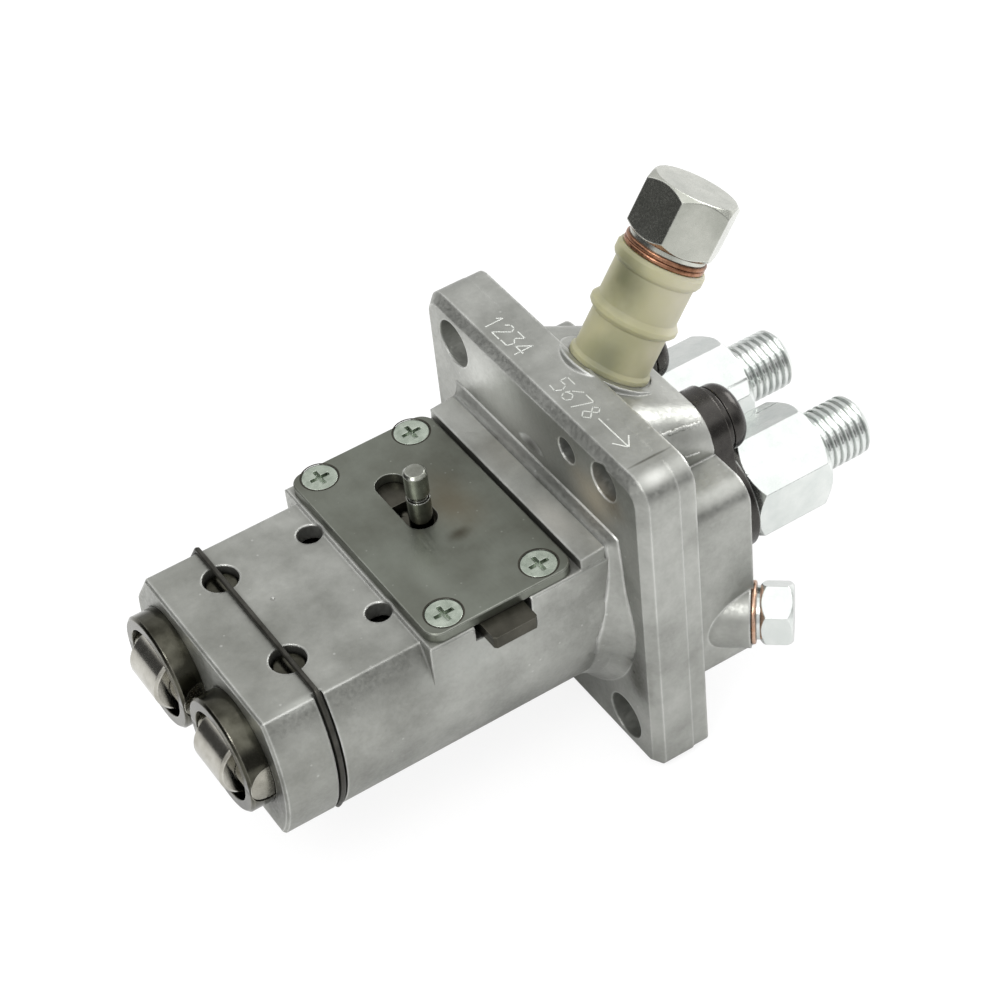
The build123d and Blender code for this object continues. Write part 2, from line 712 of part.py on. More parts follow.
def make_guide_pin():
    """The stepped pin that keeps a tappet from turning."""
    pin = rod_z(guide_r, guide_step_z, flat_top_z - guide_drop, guide_x, 0)
    pin = chamfer(pin.faces().sort_by(Axis.Z)[-1].edges(), edge_break)
    return pin + rod_z(guide_tip_r, guide_tip_z, guide_step_z + 0.5, guide_x, 0)


def make_lock_washer():
    """A spring washer on the clamp flange."""
    x0 = head_end_x + clamp_t
    ring = rod_x(lock_washer_r, x0, x0 + lock_washer_t) - rod_x(clamp_hole_r, x0 - 1, x0 + 3)
    return round_outer_rims(ring, 0.45)


def make_clamp_bolt():
    """A clamp bolt with a low domed head and a hexagon socket."""
    x0 = head_end_x + clamp_t + lock_washer_t
    head = rod_x(clamp_head_r, x0, x0 + clamp_head_h)
    head = fillet(head.edges().sort_by(Axis.X)[-1], clamp_head_h * 0.7)
    bolt = head + rod_x(clamp_bolt_r, head_end_x - clamp_bolt_depth, x0 + 1)
    socket = Pos(x0 + clamp_head_h - 2.1, 0, 0) * extrude(Plane.YZ * RegularPolygon(2.9, 6), 4)
    return bolt - socket


def make_nylon_sleeve():
    """The turned nylon sleeve of the inlet, with a bead at its middle and one at its top."""
    mid = nylon_length / 2 - 0.6
    top = nylon_length
    return turned_z([(nylon_bore_r, 0), (nylon_r, 0), (nylon_r, 0.9), (nylon_low_r, 1.6),
                     (nylon_low_r, mid - 1.5), (nylon_bead_r - 0.4, mid - 0.9), (nylon_bead_r, mid - 0.4),
                     (nylon_bead_r, mid + 0.4), (nylon_bead_r - 0.4, mid + 0.9), (nylon_high_r, mid + 1.5),
                     (nylon_high_r, top - 3.2), (nylon_bead_r - 0.3, top - 2.7), (nylon_bead_r, top - 2.1),
                     (nylon_bead_r, top - 0.7), (nylon_bead_r - 0.4, top), (nylon_bore_r, top)])


def make_copper_washer():
    """A copper washer with rounded rims, standing on the XY plane."""
    ring = rod_z(copper_r, 0, copper_t) - rod_z(nylon_bore_r + 0.05, -1, 2)
    return round_outer_rims(ring, 0.3)


def make_inlet_bolt():
    """The hollow inlet bolt with a collar under its hexagon and two cross holes."""
    face = nylon_length + 2 * copper_t
    bolt = Pos(0, 0, face + inlet_collar_t - 0.4) * Rot(0, 0, inlet_hex_turn)
    bolt = bolt * hexagon(inlet_af, inlet_hex_h, 1.3)
    bolt += rod_z(inlet_collar_r, face, face + inlet_collar_t)
    bolt += rod_z(inlet_shank_r, -inlet_shank_depth, face + 1)
    bolt -= rod_z(inlet_way_r, -inlet_shank_depth - 1, face - 2)
    for turn in (0, 90):
        bolt -= Rot(0, 0, turn) * rod_y(1.5, -10, 10, 0, nylon_length / 2)
    return bolt


def make_bleed_washer():
    """The washer under the bleed screw."""
    half = bleed_ring_t / 2
    ring = rod_z(bleed_ring_r, -half, half) - rod_z(bleed_shank_r + 0.15, -2, 2)
    return round_outer_rims(ring, 0.35)


def make_bleed_screw():
    """The bleed screw with its hexagon head."""
    half = bleed_ring_t / 2
    screw = Pos(0, 0, half + bleed_collar_t - 0.2) * Rot(0, 0, bleed_hex_turn)
    screw = screw * hexagon(bleed_af, bleed_hex_h, 1.0)
    screw += rod_z(bleed_collar_r, half, half + bleed_collar_t)
    return screw + rod_z(bleed_shank_r, -bleed_depth, half + 0.5)


save(make_body(), "pump_body")
save(make_cover_plate(), "cover_plate")
for number, (x, y) in enumerate(plate_screws, 1):
    save(Pos(x, y, plate_top_z) * make_cover_screw(), "cover_screw_" + str(number))
save(make_rack(), "control_rack")
save(make_rack_pin(), "rack_pin")
save(make_wire(), "retaining_wire")

element_pieces = {
    "tappet": make_tappet(),
    "roller": make_roller(),
    "roller_pin": make_roller_pin(),
    "adjusting_shim": rod_x(shim_r, cup_floor_x, shim_top_x),
    "lower_spring_seat": make_lower_seat(),
    "upper_spring_seat": make_upper_seat(),
    "plunger_spring": coil(spring_mean_r, spring_wire_r, spring_x0, spring_x1, spring_turns),
    "control_sleeve": make_control_sleeve(),
    "plunger": make_plunger(),
    "barrel": make_barrel(),
    "valve_seat": make_valve_seat(),
    "holder_gasket": make_gasket(),
    "delivery_valve": make_delivery_valve(),
    "delivery_spring": coil(valve_spring_r, valve_spring_wire_r, valve_collar_x, chamber_top_x,
                            valve_spring_turns),
    "delivery_holder": make_delivery_holder(),
    "guide_pin": make_guide_pin(),
}
for name, piece in element_pieces.items():
    for number, y in enumerate(element_ys, 1):
        save(Pos(0, y, 0) * piece, name + "_" + str(number))

clamp_pieces = {
    "lock_washer": make_lock_washer(),
    "clamp_bolt": make_clamp_bolt(),
}
clamp_places = [(y, side * clamp_z) for y in element_ys for side in (1, -1)]
for name, piece in clamp_pieces.items():
    for number, (y, z) in enumerate(clamp_places, 1):
        save(Pos(0, y, z) * piece, name + "_" + str(number))

save(inlet_frame * make_nylon_sleeve(), "inlet_sleeve")
save(inlet_frame * Pos(0, 0, nylon_length) * make_copper_washer(), "inlet_washer_1")
save(inlet_frame * Pos(0, 0, nylon_length + copper_t) * make_copper_washer(), "inlet_washer_2")
save(inlet_frame * make_inlet_bolt(), "inlet_bolt")
save(bleed_frame * make_bleed_washer(), "bleed_washer")
save(bleed_frame * make_bleed_screw(), "bleed_screw")
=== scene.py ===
import logging
from dataclasses import dataclass, field, replace
from enum import Enum
from math import cos, pi, radians, sin
from random import Random
from typing import Any, Sequence

import bmesh
import bpy
from mathutils import Matrix, Vector


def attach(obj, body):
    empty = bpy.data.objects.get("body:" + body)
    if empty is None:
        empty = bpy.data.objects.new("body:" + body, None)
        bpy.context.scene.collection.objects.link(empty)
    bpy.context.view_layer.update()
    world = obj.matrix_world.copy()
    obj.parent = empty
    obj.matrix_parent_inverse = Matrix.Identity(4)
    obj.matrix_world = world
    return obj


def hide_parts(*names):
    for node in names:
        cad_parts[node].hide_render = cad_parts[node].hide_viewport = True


logging.basicConfig(level=logging.INFO, format="%(message)s")
log = logging.getLogger("injection_pump")

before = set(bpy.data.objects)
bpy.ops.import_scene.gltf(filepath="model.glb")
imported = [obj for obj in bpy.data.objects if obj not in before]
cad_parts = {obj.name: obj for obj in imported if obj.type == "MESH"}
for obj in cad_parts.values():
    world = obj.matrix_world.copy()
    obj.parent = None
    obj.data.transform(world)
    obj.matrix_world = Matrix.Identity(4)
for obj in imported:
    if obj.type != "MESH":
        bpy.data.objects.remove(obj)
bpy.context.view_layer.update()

MM = 0.001
Point = tuple[float, float, float]
Socket = bpy.types.NodeSocket
Tree = bpy.types.NodeTree
Material = bpy.types.Material
BMesh = bmesh.types.BMesh

# Each pair is the part of an input's range that a map spreads out, from where it starts to where it ends.
NOISE_MIDDLE = 0.5
TONE_RANGE = (0.34, 0.66)
EDGE_RANGE = (0.995, 0.90)
CHIP_RANGE = (0.30, 0.55)
CORNER_RANGE = (0.75, 0.25)
GRAIN_RANGE = (0.35, 0.65)
SPECK_RANGE = (0.14, 0.07)
SPECK_CHOICE = 0.68
SHADER_SAMPLES = 6
# A wave texture makes 20 bands in each unit of its scaled input, in place of one.
WAVE_BANDS = 20
WELD_M = 1e-6


class Grain(Enum):
    """How a surface was made, which decides the pattern of its bumps."""

    CAST = "cast"
    ROLLED = "rolled"
    TURNED = "turned"
    PLATED = "plated"


class Digit(Enum):
    """Strokes of the plain digits stamped on the flange, on a grid two wide and three high."""

    ONE = (((0.4, 2.2), (1.0, 3.0), (1.0, 0.0)),)
    TWO = (((0.0, 2.4), (0.5, 3.0), (1.5, 3.0), (2.0, 2.3), (0.0, 0.0), (2.0, 0.0)),)
    THREE = (((0.0, 3.0), (1.9, 3.0), (0.9, 1.8), (1.9, 1.2), (1.6, 0.1), (0.0, 0.1)),)
    FOUR = (((1.5, 0.0), (1.5, 3.0), (0.0, 1.0), (2.0, 1.0)),)
    FIVE = (((2.0, 3.0), (0.0, 3.0), (0.0, 1.8), (1.4, 1.9), (2.0, 1.0), (1.4, 0.0), (0.0, 0.1)),)
    SIX = (((1.8, 3.0), (0.4, 1.8), (0.0, 0.8), (0.6, 0.0), (1.6, 0.1), (2.0, 0.9), (1.3, 1.6),
            (0.2, 1.2)),)
    SEVEN = (((0.0, 3.0), (2.0, 3.0), (0.8, 0.0)),)
    EIGHT = (((1.0, 1.6), (0.2, 2.3), (1.0, 3.0), (1.8, 2.3), (1.0, 1.6), (0.0, 0.8), (1.0, 0.0),
              (2.0, 0.8), (1.0, 1.6)),)


def linear(hex_colour: str) -> tuple[float, float, float, float]:
    """Turn an sRGB hex colour into linear red, green, blue and alpha.

    Args:
        hex_colour: six hex digits after a hash sign.

    Returns:
        The four values that a shader's colour socket takes.
    """
    channels = [int(hex_colour[i:i + 2], 16) / 255 for i in (1, 3, 5)]
    red, green, blue = (c / 12.92 if c <= 0.04045 else ((c + 0.055) / 1.055) ** 2.4 for c in channels)
    return (red, green, blue, 1.0)


def add_node(tree: Tree, kind: str, inputs: dict[str | int, Any] | None = None,
             **settings: Any) -> bpy.types.Node:
    """Add one shader node with its settings, values and links.

    Args:
        tree: the node tree that gets the node.
        kind: the node's type name.
        inputs: socket name or number to a value, or to an output socket to link.
        settings: properties of the node itself.

    Returns:
        The new node.
    """
    node = tree.nodes.new(kind)
    for name, value in settings.items():
        setattr(node, name, value)
    for key, value in (inputs or {}).items():
        if isinstance(value, Socket):
            tree.links.new(value, node.inputs[key])
        else:
            node.inputs[key].default_value = value
    return node


def new_material(name: str) -> Material:
    """Make an empty node material.

    Args:
        name: the material's name.

    Returns:
        The material, with no node in its tree.
    """
    material = bpy.data.materials.new(name)
    material.use_nodes = True
    material.node_tree.nodes.clear()
    return material


@dataclass(frozen=True)
class ToneCloud:
    """A cloud of another tone on a surface, such as an oil film, a rubbed place, a painted light or a painted
    shade.

    Places and sizes are in millimetres, and the share is how much of the surface's own tone it hides.
    """

    centre_mm: Point
    size_mm: Point
    colour: str
    share: float
    ragged: float = 0.9

    def over(self, tree: Tree, coordinates: Socket,
             clouds: Socket, body: Socket) -> Socket:
        """Lay the cloud over a tone.

        Args:
            tree: the material's node tree.
            coordinates: the Object coordinates.
            clouds: a noise between 0 and 1 that breaks up the stain's outline.
            body: the tone below.

        Returns:
            The socket that holds the clouded tone.
        """
        place = add_node(tree, "ShaderNodeMapping", {
            "Vector": coordinates, "Location": tuple(c * MM for c in self.centre_mm),
            "Scale": tuple(c * MM for c in self.size_mm)}, vector_type="TEXTURE").outputs[0]
        distance = add_node(tree, "ShaderNodeVectorMath", {0: place}, operation="LENGTH").outputs["Value"]
        outline = add_node(tree, "ShaderNodeMath", {
            0: clouds, 1: self.ragged, 2: distance}, operation="MULTIPLY_ADD").outputs[0]
        middle = NOISE_MIDDLE * self.ragged
        share = add_node(tree, "ShaderNodeMapRange", {
            "Value": outline, "From Min": middle, "From Max": 1.0 + middle,
            "To Min": self.share, "To Max": 0.0}, interpolation_type="SMOOTHSTEP").outputs[0]
        return add_node(tree, "ShaderNodeMix", {0: share, 6: body, 7: linear(self.colour)},
                        data_type="RGBA").outputs[2]


@dataclass(frozen=True)
class MetalFinish:
    """A metal surface: its tones, its grain, its worn edges and the painted shade in its corners.

    All lengths are in millimetres, all turns in degrees and all colours are sRGB hex. A cast skin's pits
    and waves are shares of the grain and of the patches, and its waves stand wave_height times as high.
    """

    name: str
    light: str
    dark: str
    worn: str
    # Painted shade: the next colour is mixed into corners and creases by an ambient occlusion mask, as the
    # shade there.
    corner_shade: str
    grain: Grain = Grain.PLATED
    metallic: float = 1.0
    rough_low: float = 0.3
    rough_high: float = 0.45
    patch_mm: float = 12.0
    grain_mm: float = 0.5
    bump_mm: float = 0.02
    edge_mm: float = 0.25
    wear: float = 0.5
    corner_shade_reach_mm: float = 2.0
    corner_shade_share: float = 0.5
    stretch: Point = (1.0, 1.0, 1.0)
    ring_axis: str = "X"
    turn: Point = (0.0, 0.0, 0.0)
    speck_gap_mm: float = 2.2
    speck_share: float = 0.0
    pit_share: float = 1.6
    wave_share: float = 0.35
    wave_height: float = 6.0
    tone_clouds: tuple[ToneCloud, ...] = ()

    def material(self) -> Material:
        """Build the node material of this finish.

        Returns:
            The finished material, read in Object coordinates.
        """
        material = new_material(self.name)
        tree = material.node_tree
        coordinates = add_node(tree, "ShaderNodeTexCoord").outputs["Object"]
        placed = add_node(tree, "ShaderNodeMapping", {
            "Vector": coordinates, "Rotation": tuple(radians(a) for a in self.turn),
            "Scale": self.stretch}).outputs[0]

        patches = add_node(tree, "ShaderNodeTexNoise", {
            "Vector": coordinates, "Scale": 1 / (self.patch_mm * MM), "Detail": 5.0,
            "Roughness": 0.6}).outputs[0]
        tone = add_node(tree, "ShaderNodeMapRange", {
            "Value": patches, "From Min": TONE_RANGE[0], "From Max": TONE_RANGE[1]}).outputs[0]
        body = add_node(tree, "ShaderNodeMix", {
            0: tone, 6: linear(self.dark), 7: linear(self.light)}, data_type="RGBA").outputs[2]

        for tone_cloud in self.tone_clouds:
            body = tone_cloud.over(tree, coordinates, patches, body)
        if self.speck_share:
            body = self.specks(tree, coordinates, body)

        bevel = add_node(tree, "ShaderNodeBevel", {"Radius": self.edge_mm * MM},
                         samples=SHADER_SAMPLES).outputs[0]
        true_normal = add_node(tree, "ShaderNodeNewGeometry").outputs["Normal"]
        facing = add_node(tree, "ShaderNodeVectorMath", {0: bevel, 1: true_normal},
                          operation="DOT_PRODUCT").outputs["Value"]
        edge = add_node(tree, "ShaderNodeMapRange", {
            "Value": facing, "From Min": EDGE_RANGE[0], "From Max": EDGE_RANGE[1],
            "To Max": self.wear}).outputs[0]
        fine = add_node(tree, "ShaderNodeTexNoise", {
            "Vector": placed, "Scale": 1 / (self.grain_mm * MM), "Detail": 3.0, "Roughness": 0.55}).outputs[0]
        chipped = add_node(tree, "ShaderNodeMapRange", {
            "Value": patches, "From Min": CHIP_RANGE[0], "From Max": CHIP_RANGE[1]}).outputs[0]
        edge_share = add_node(tree, "ShaderNodeMath", {0: edge, 1: chipped},
                              operation="MULTIPLY").outputs[0]
        worn = add_node(tree, "ShaderNodeMix", {
            0: edge_share, 6: body, 7: linear(self.worn)}, data_type="RGBA").outputs[2]

        # Painted shade: an ambient occlusion mask darkens corners and creases towards the dark colour,
        # standing in for the shade that falls there.
        open_sky = add_node(tree, "ShaderNodeAmbientOcclusion", {
            "Distance": self.corner_shade_reach_mm * MM}, samples=SHADER_SAMPLES).outputs["AO"]
        corner = add_node(tree, "ShaderNodeMapRange", {
            "Value": open_sky, "From Min": CORNER_RANGE[0], "From Max": CORNER_RANGE[1],
            "To Max": self.corner_shade_share}).outputs[0]
        corner_shaded = add_node(tree, "ShaderNodeMix", {
            0: corner, 6: worn, 7: linear(self.corner_shade)}, data_type="RGBA").outputs[2]

        roughness = add_node(tree, "ShaderNodeMapRange", {
            "Value": fine, "From Min": GRAIN_RANGE[0], "From Max": GRAIN_RANGE[1],
            "To Min": self.rough_low, "To Max": self.rough_high}).outputs[0]
        height = self.height(tree, placed, fine)
        bump = add_node(tree, "ShaderNodeBump", {
            "Height": height, "Distance": self.bump_mm * MM, "Strength": 1.0, "Normal": bevel}).outputs[0]
        shader = add_node(tree, "ShaderNodeBsdfPrincipled", {
            "Base Color": corner_shaded, "Metallic": self.metallic, "Roughness": roughness, "Normal": bump})
        add_node(tree, "ShaderNodeOutputMaterial", {"Surface": shader.outputs[0]})
        return material

    def specks(self, tree: Tree, coordinates: Socket,
               body: Socket) -> Socket:
        """Scatter small bright specks, where the skin of the metal is rubbed through.

        Args:
            tree: the material's node tree.
            coordinates: the Object coordinates.
            body: the tone below.

        Returns:
            The socket that holds the speckled tone.
        """
        cells = add_node(tree, "ShaderNodeTexVoronoi", {
            "Vector": coordinates, "Scale": 1 / (self.speck_gap_mm * MM)})
        near = add_node(tree, "ShaderNodeMapRange", {
            "Value": cells.outputs["Distance"], "From Min": SPECK_RANGE[0], "From Max": SPECK_RANGE[1],
            "To Max": self.speck_share}).outputs[0]
        chosen = add_node(tree, "ShaderNodeMath", {
            0: cells.outputs["Color"], 1: SPECK_CHOICE}, operation="GREATER_THAN").outputs[0]
        share = add_node(tree, "ShaderNodeMath", {0: near, 1: chosen}, operation="MULTIPLY").outputs[0]
        return add_node(tree, "ShaderNodeMix", {0: share, 6: body, 7: linear(self.worn)},
                        data_type="RGBA").outputs[2]

    def height(self, tree: Tree, placed: Socket,
               fine: Socket) -> Socket:
        """Give the bump height that the surface's making leaves.

        Args:
            tree: the material's node tree.
            placed: the placed and stretched coordinates.
            fine: the fine noise, between 0 and 1.

        Returns:
            The socket that holds the height.
        """
        if self.grain is Grain.TURNED:
            rings = add_node(tree, "ShaderNodeTexWave", {
                "Vector": placed, "Scale": 1 / (self.grain_mm * MM) / WAVE_BANDS, "Distortion": 0.6,
                "Detail": 2.0}, wave_type="RINGS", rings_direction=self.ring_axis).outputs["Fac"]
            return add_node(tree, "ShaderNodeMath", {0: rings, 1: fine}, operation="ADD").outputs[0]
        if self.grain is Grain.CAST:
            pits = add_node(tree, "ShaderNodeTexVoronoi", {
                "Vector": placed, "Scale": 1 / (self.grain_mm * self.pit_share * MM)},
                feature="SMOOTH_F1").outputs["Distance"]
            waves = add_node(tree, "ShaderNodeTexNoise", {
                "Vector": placed, "Scale": 1 / (self.patch_mm * self.wave_share * MM),
                "Detail": 1.0}).outputs[0]
            skin = add_node(tree, "ShaderNodeMath", {0: pits, 1: fine}, operation="ADD").outputs[0]
            return add_node(tree, "ShaderNodeMath", {0: waves, 1: self.wave_height, 2: skin},
                            operation="MULTIPLY_ADD").outputs[0]
        return fine


@dataclass(frozen=True)
class NylonFinish:
    """Turned natural nylon: waxy and slightly see-through, so its shaded side glows a little."""

    name: str = "turned natural nylon"
    light: str = "#BCB897"
    dark: str = "#A09E7A"
    ring_mm: float = 0.35
    ring_height_mm: float = 0.01
    edge_mm: float = 0.3
    lean_degrees: float = -35.0
    patches_per_m: float = 130.0
    roughness: float = 0.42
    glow_share: float = 0.55
    glow_reach_m: Point = (0.0030, 0.0028, 0.0016)
    clear_share: float = 0.12
    tone_clouds: tuple[ToneCloud, ...] = (
        # Painted shade and light: the two dark clouds darken the sleeve's middle and its left side, and the
        # two pale clouds lighten its right side, as light falls on it.
        ToneCloud((20.0, -1.5, 51.0), (8.0, 7.0, 9.0), "#64654A", 1.0, 0.7),
        ToneCloud((13.5, -4.5, 37.5), (6.5, 6.0, 9.0), "#7C7D60", 0.9, 0.7),
        ToneCloud((30.0, -8.0, 40.0), (10.0, 8.0, 22.0), "#DCD7C2", 0.85, 0.7),
        ToneCloud((24.0, -8.0, 35.0), (5.5, 4.0, 7.0), "#D8D3BA", 0.8, 0.7),
    )

    def material(self) -> Material:
        """Build the node material, with fine turning rings round the slanting axis.

        Returns:
            The finished material, read in Object coordinates.
        """
        material = new_material(self.name)
        tree = material.node_tree
        coordinates = add_node(tree, "ShaderNodeTexCoord").outputs["Object"]
        patches = add_node(tree, "ShaderNodeTexNoise", {
            "Vector": coordinates, "Scale": self.patches_per_m, "Detail": 3.0}).outputs[0]
        body = add_node(tree, "ShaderNodeMix", {
            0: patches, 6: linear(self.dark), 7: linear(self.light)}, data_type="RGBA").outputs[2]
        for tone_cloud in self.tone_clouds:
            body = tone_cloud.over(tree, coordinates, patches, body)
        upright = add_node(tree, "ShaderNodeMapping", {
            "Vector": coordinates, "Rotation": (0.0, radians(self.lean_degrees), 0.0)}).outputs[0]
        rings = add_node(tree, "ShaderNodeTexWave", {
            "Vector": upright, "Scale": 1 / (self.ring_mm * MM) / WAVE_BANDS, "Distortion": 0.4},
            wave_type="BANDS", bands_direction="Z").outputs["Fac"]
        bevel = add_node(tree, "ShaderNodeBevel", {"Radius": self.edge_mm * MM},
                         samples=SHADER_SAMPLES).outputs[0]
        bump = add_node(tree, "ShaderNodeBump", {
            "Height": rings, "Distance": self.ring_height_mm * MM, "Strength": 0.5,
            "Normal": bevel}).outputs[0]
        shader = add_node(tree, "ShaderNodeBsdfPrincipled", {
            "Base Color": body, "Roughness": self.roughness, "IOR": 1.53,
            "Subsurface Weight": self.glow_share, "Subsurface Radius": self.glow_reach_m,
            "Subsurface Scale": 1.0, "Transmission Weight": self.clear_share, "Normal": bump})
        add_node(tree, "ShaderNodeOutputMaterial", {"Surface": shader.outputs[0]})
        return material


# The casting's clouds of tone: oil towards the tappets, brown film round the flange's holes, rubbed and dark
# places, and painted light and shade, each marked where it stands.
# The ninth isn't in the photograph. It tones down the spot where the solid inlet boss stands through the
# flange's front face, a known fault of the solids.
CAST_TONE_CLOUDS = (
    ToneCloud((-72.0, 0.0, 0.0), (48.0, 150.0, 150.0), "#71726A", 0.36, 0.35),
    # Painted light: a pale warm cloud on the upper near part of the flange's front face, where light falls.
    ToneCloud((0.0, -20.0, 24.0), (3.0, 10.0, 9.0), "#D6CCB8", 0.85),
    ToneCloud((0.0, -26.0, 26.0), (2.5, 6.0, 5.0), "#8C7F6A", 0.60),
    # Painted light: the next two pale clouds on the far half of the flange's front face, where light falls.
    ToneCloud((0.0, 10.0, 26.0), (3.0, 20.0, 12.0), "#E2E3DE", 0.95),
    ToneCloud((0.0, 24.0, 4.0), (3.0, 8.0, 14.0), "#B9B2A6", 0.60),
    # Painted shade: a dark cloud on the lower near part of the flange's front face, where the pump shades it.
    ToneCloud((0.0, -30.0, -15.0), (2.0, 6.0, 10.0), "#5C5C55", 0.90),
    ToneCloud((-3.0, 6.0, 17.0), (5.0, 9.0, 3.0), "#85827A", 0.45),
    # Painted highlight: a pale cloud along the near end of the shoulder's ridge next to the flange.
    ToneCloud((-5.0, -14.0, 17.0), (4.0, 9.0, 3.0), "#C4C2BB", 0.60),
    ToneCloud((-0.6, -0.7, 22.4), (1.2, 4.2, 1.9), "#55534C", 0.70, 0.3),
    # Painted shade: the near half of the spigot's end face round the tappets is darkened nearly to black.
    ToneCloud((-69.4, -20.0, 0.0), (1.2, 13.0, 17.0), "#2E2D28", 0.95, 0.5),
    # Painted highlight: a pale cloud along the far end of the shoulder's ridge next to the flange.
    ToneCloud((-3.0, 17.0, 17.0), (5.0, 8.0, 3.0), "#C6C7C2", 0.60),
    ToneCloud((-30.0, -25.0, 8.0), (14.0, 3.0, 9.0), "#C2C4BF", 0.45),
    # Painted reflection: a pale strip on the rounded edge between the spigot's top flat and its near side.
    ToneCloud((-62.0, -22.0, 13.6), (8.0, 2.0, 1.4), "#D6D8D2", 0.65),
    ToneCloud((6.3, -28.3, 35.7), (7.0, 0.40, 1.0), "#4E4D45", 0.75),
    ToneCloud((5.0, -32.2, 35.0), (4.0, 2.4, 2.4), "#D8D9D4", 0.70),
    # Painted shade: a small dark dot stands in for a small hole in the flange's lower front.
    ToneCloud((0.0, -28.8, -13.2), (0.5, 0.5, 0.5), "#23221E", 0.95, 0.2),
    ToneCloud((22.0, -27.6, 14.0), (6.0, 2.0, 5.0), "#8D8B82", 0.45),
)
# Die-cast aluminium, left as cast: light satin grey with faint darker clouds and bright rubbed edges.
CAST_ALUMINIUM = MetalFinish(
    "die cast aluminium", light="#B2B3AE", dark="#8F908B", worn="#E4E5E1", corner_shade="#38372F", grain=Grain.CAST,
    metallic=0.85, rough_low=0.34, rough_high=0.50, patch_mm=14.0, grain_mm=0.7, bump_mm=0.024, edge_mm=0.7,
    wear=0.8, corner_shade_reach_mm=2.4, corner_shade_share=0.8, speck_share=0.30, tone_clouds=CAST_TONE_CLOUDS)
# Rolled steel sheet with a dull dark oxide, a little green under oil.
ROLLED_STEEL = MetalFinish(
    "rolled steel sheet", light="#7F837A", dark="#66685F", worn="#B8BAB3", corner_shade="#22221C",
    grain=Grain.ROLLED,
    metallic=0.9, rough_high=0.44, patch_mm=18.0, grain_mm=0.6, bump_mm=0.006, edge_mm=0.3,
    stretch=(1.0, 0.15, 1.0), wear=0.8, corner_shade_share=0.7, speck_gap_mm=1.7, speck_share=0.25,
    tone_clouds=(ToneCloud((-17.0, 0.0, 17.0), (7.0, 11.0, 4.0), "#6C6452", 0.65),
            ToneCloud((-20.0, -6.5, 17.0), (3.5, 2.2, 4.0), "#3F3A2E", 0.75),
            ToneCloud((-30.0, -12.0, 17.0), (4.0, 9.0, 4.0), "#8F938A", 0.50)))
# Ground steel bar that has gone brown-grey with oil.
RACK_STEEL = MetalFinish(
    "oiled ground steel", light="#504E46", dark="#393831", worn="#7C7A72", corner_shade="#181713",
    grain=Grain.ROLLED,
    metallic=0.9, rough_low=0.28, rough_high=0.42, patch_mm=6.0, grain_mm=0.4, bump_mm=0.006,
    stretch=(1.0, 0.12, 1.0))
# Ground and hardened tappet steel under oil: smooth and dark, with mirror-like bands.
TAPPET_STEEL = MetalFinish(
    "ground tappet steel", light="#616056", dark="#3A3931", worn="#B0AEA3", corner_shade="#1C1B16",
    grain=Grain.TURNED,
    rough_low=0.12, rough_high=0.22, patch_mm=6.0, grain_mm=0.25, bump_mm=0.003, edge_mm=0.35,
    wear=0.6, corner_shade_reach_mm=3.0, corner_shade_share=0.85)
# Roller steel, run bright by the cam.
ROLLER_STEEL = replace(
    TAPPET_STEEL, name="bright run roller steel", light="#C2C0B8", dark="#A19E95", worn="#E4E2DB",
    corner_shade="#2C2923", patch_mm=5.0, corner_shade_reach_mm=2.0, corner_shade_share=0.7, ring_axis="Y")
# The rack pin: turned steel with a brown film of old oil on its shank.
PIN_STEEL = MetalFinish(
    "oil stained turned steel", light="#A3A59D", dark="#83857C", worn="#DADBD5", corner_shade="#1B1A16",
    grain=Grain.TURNED,
    rough_low=0.16, rough_high=0.26, patch_mm=3.0, grain_mm=0.3, bump_mm=0.001, edge_mm=0.3,
    wear=0.7, corner_shade_share=0.8, ring_axis="Z",
    tone_clouds=(ToneCloud((-23.3, 0.9, 16.0), (14.0, 14.0, 10.5), "#2B261F", 1.0, 0.2),))
# Turned steel left bright.
BRIGHT_STEEL = MetalFinish(
    "turned bright steel", light="#A3A197", dark="#7E7C72", worn="#D6D4CC", corner_shade="#2E2C27",
    grain=Grain.TURNED,
    rough_low=0.18, rough_high=0.30, patch_mm=5.0, grain_mm=0.3, bump_mm=0.004,
    ring_axis="Z")
# Bright zinc plating over turned and milled steel: nearly white, with a cool cast.
BRIGHT_ZINC = MetalFinish(
    "bright zinc plate", light="#E2E5E2", dark="#D3D8D5", worn="#FFFFFF", corner_shade="#4C504E",
    rough_low=0.16, rough_high=0.26, patch_mm=5.0, grain_mm=0.35, bump_mm=0.004, edge_mm=0.3,
    wear=0.7, corner_shade_reach_mm=1.2, corner_shade_share=0.45)
# Older zinc plating on the inlet bolt: the same make, gone a little yellow and dull.
DULL_ZINC = replace(
    BRIGHT_ZINC, name="dulled zinc plate", light="#CCCDC4", dark="#B2B4AB", worn="#F6F7F2",
    corner_shade="#45484A", rough_low=0.18, rough_high=0.28, patch_mm=6.0)
# Pale passivated zinc on the small screws, a little green.
PALE_ZINC = MetalFinish(
    "pale passivated zinc", light="#C4CDC0", dark="#9FA99C", worn="#E8EFE4", corner_shade="#2B302A",
    grain=Grain.TURNED,
    rough_low=0.24, rough_high=0.36, patch_mm=2.0, grain_mm=0.3, bump_mm=0.006,
    corner_shade_reach_mm=0.8, ring_axis="Z")
# Black oxide over steel, oiled, so it is dark with small sharp highlights.
BLACK_OXIDE = MetalFinish(
    "oiled black oxide", light="#4A4845", dark="#383634", worn="#77736D", corner_shade="#151413",
    metallic=0.75, rough_low=0.18, rough_high=0.30, patch_mm=4.0, grain_mm=0.4, bump_mm=0.006, edge_mm=0.4,
    wear=0.45)
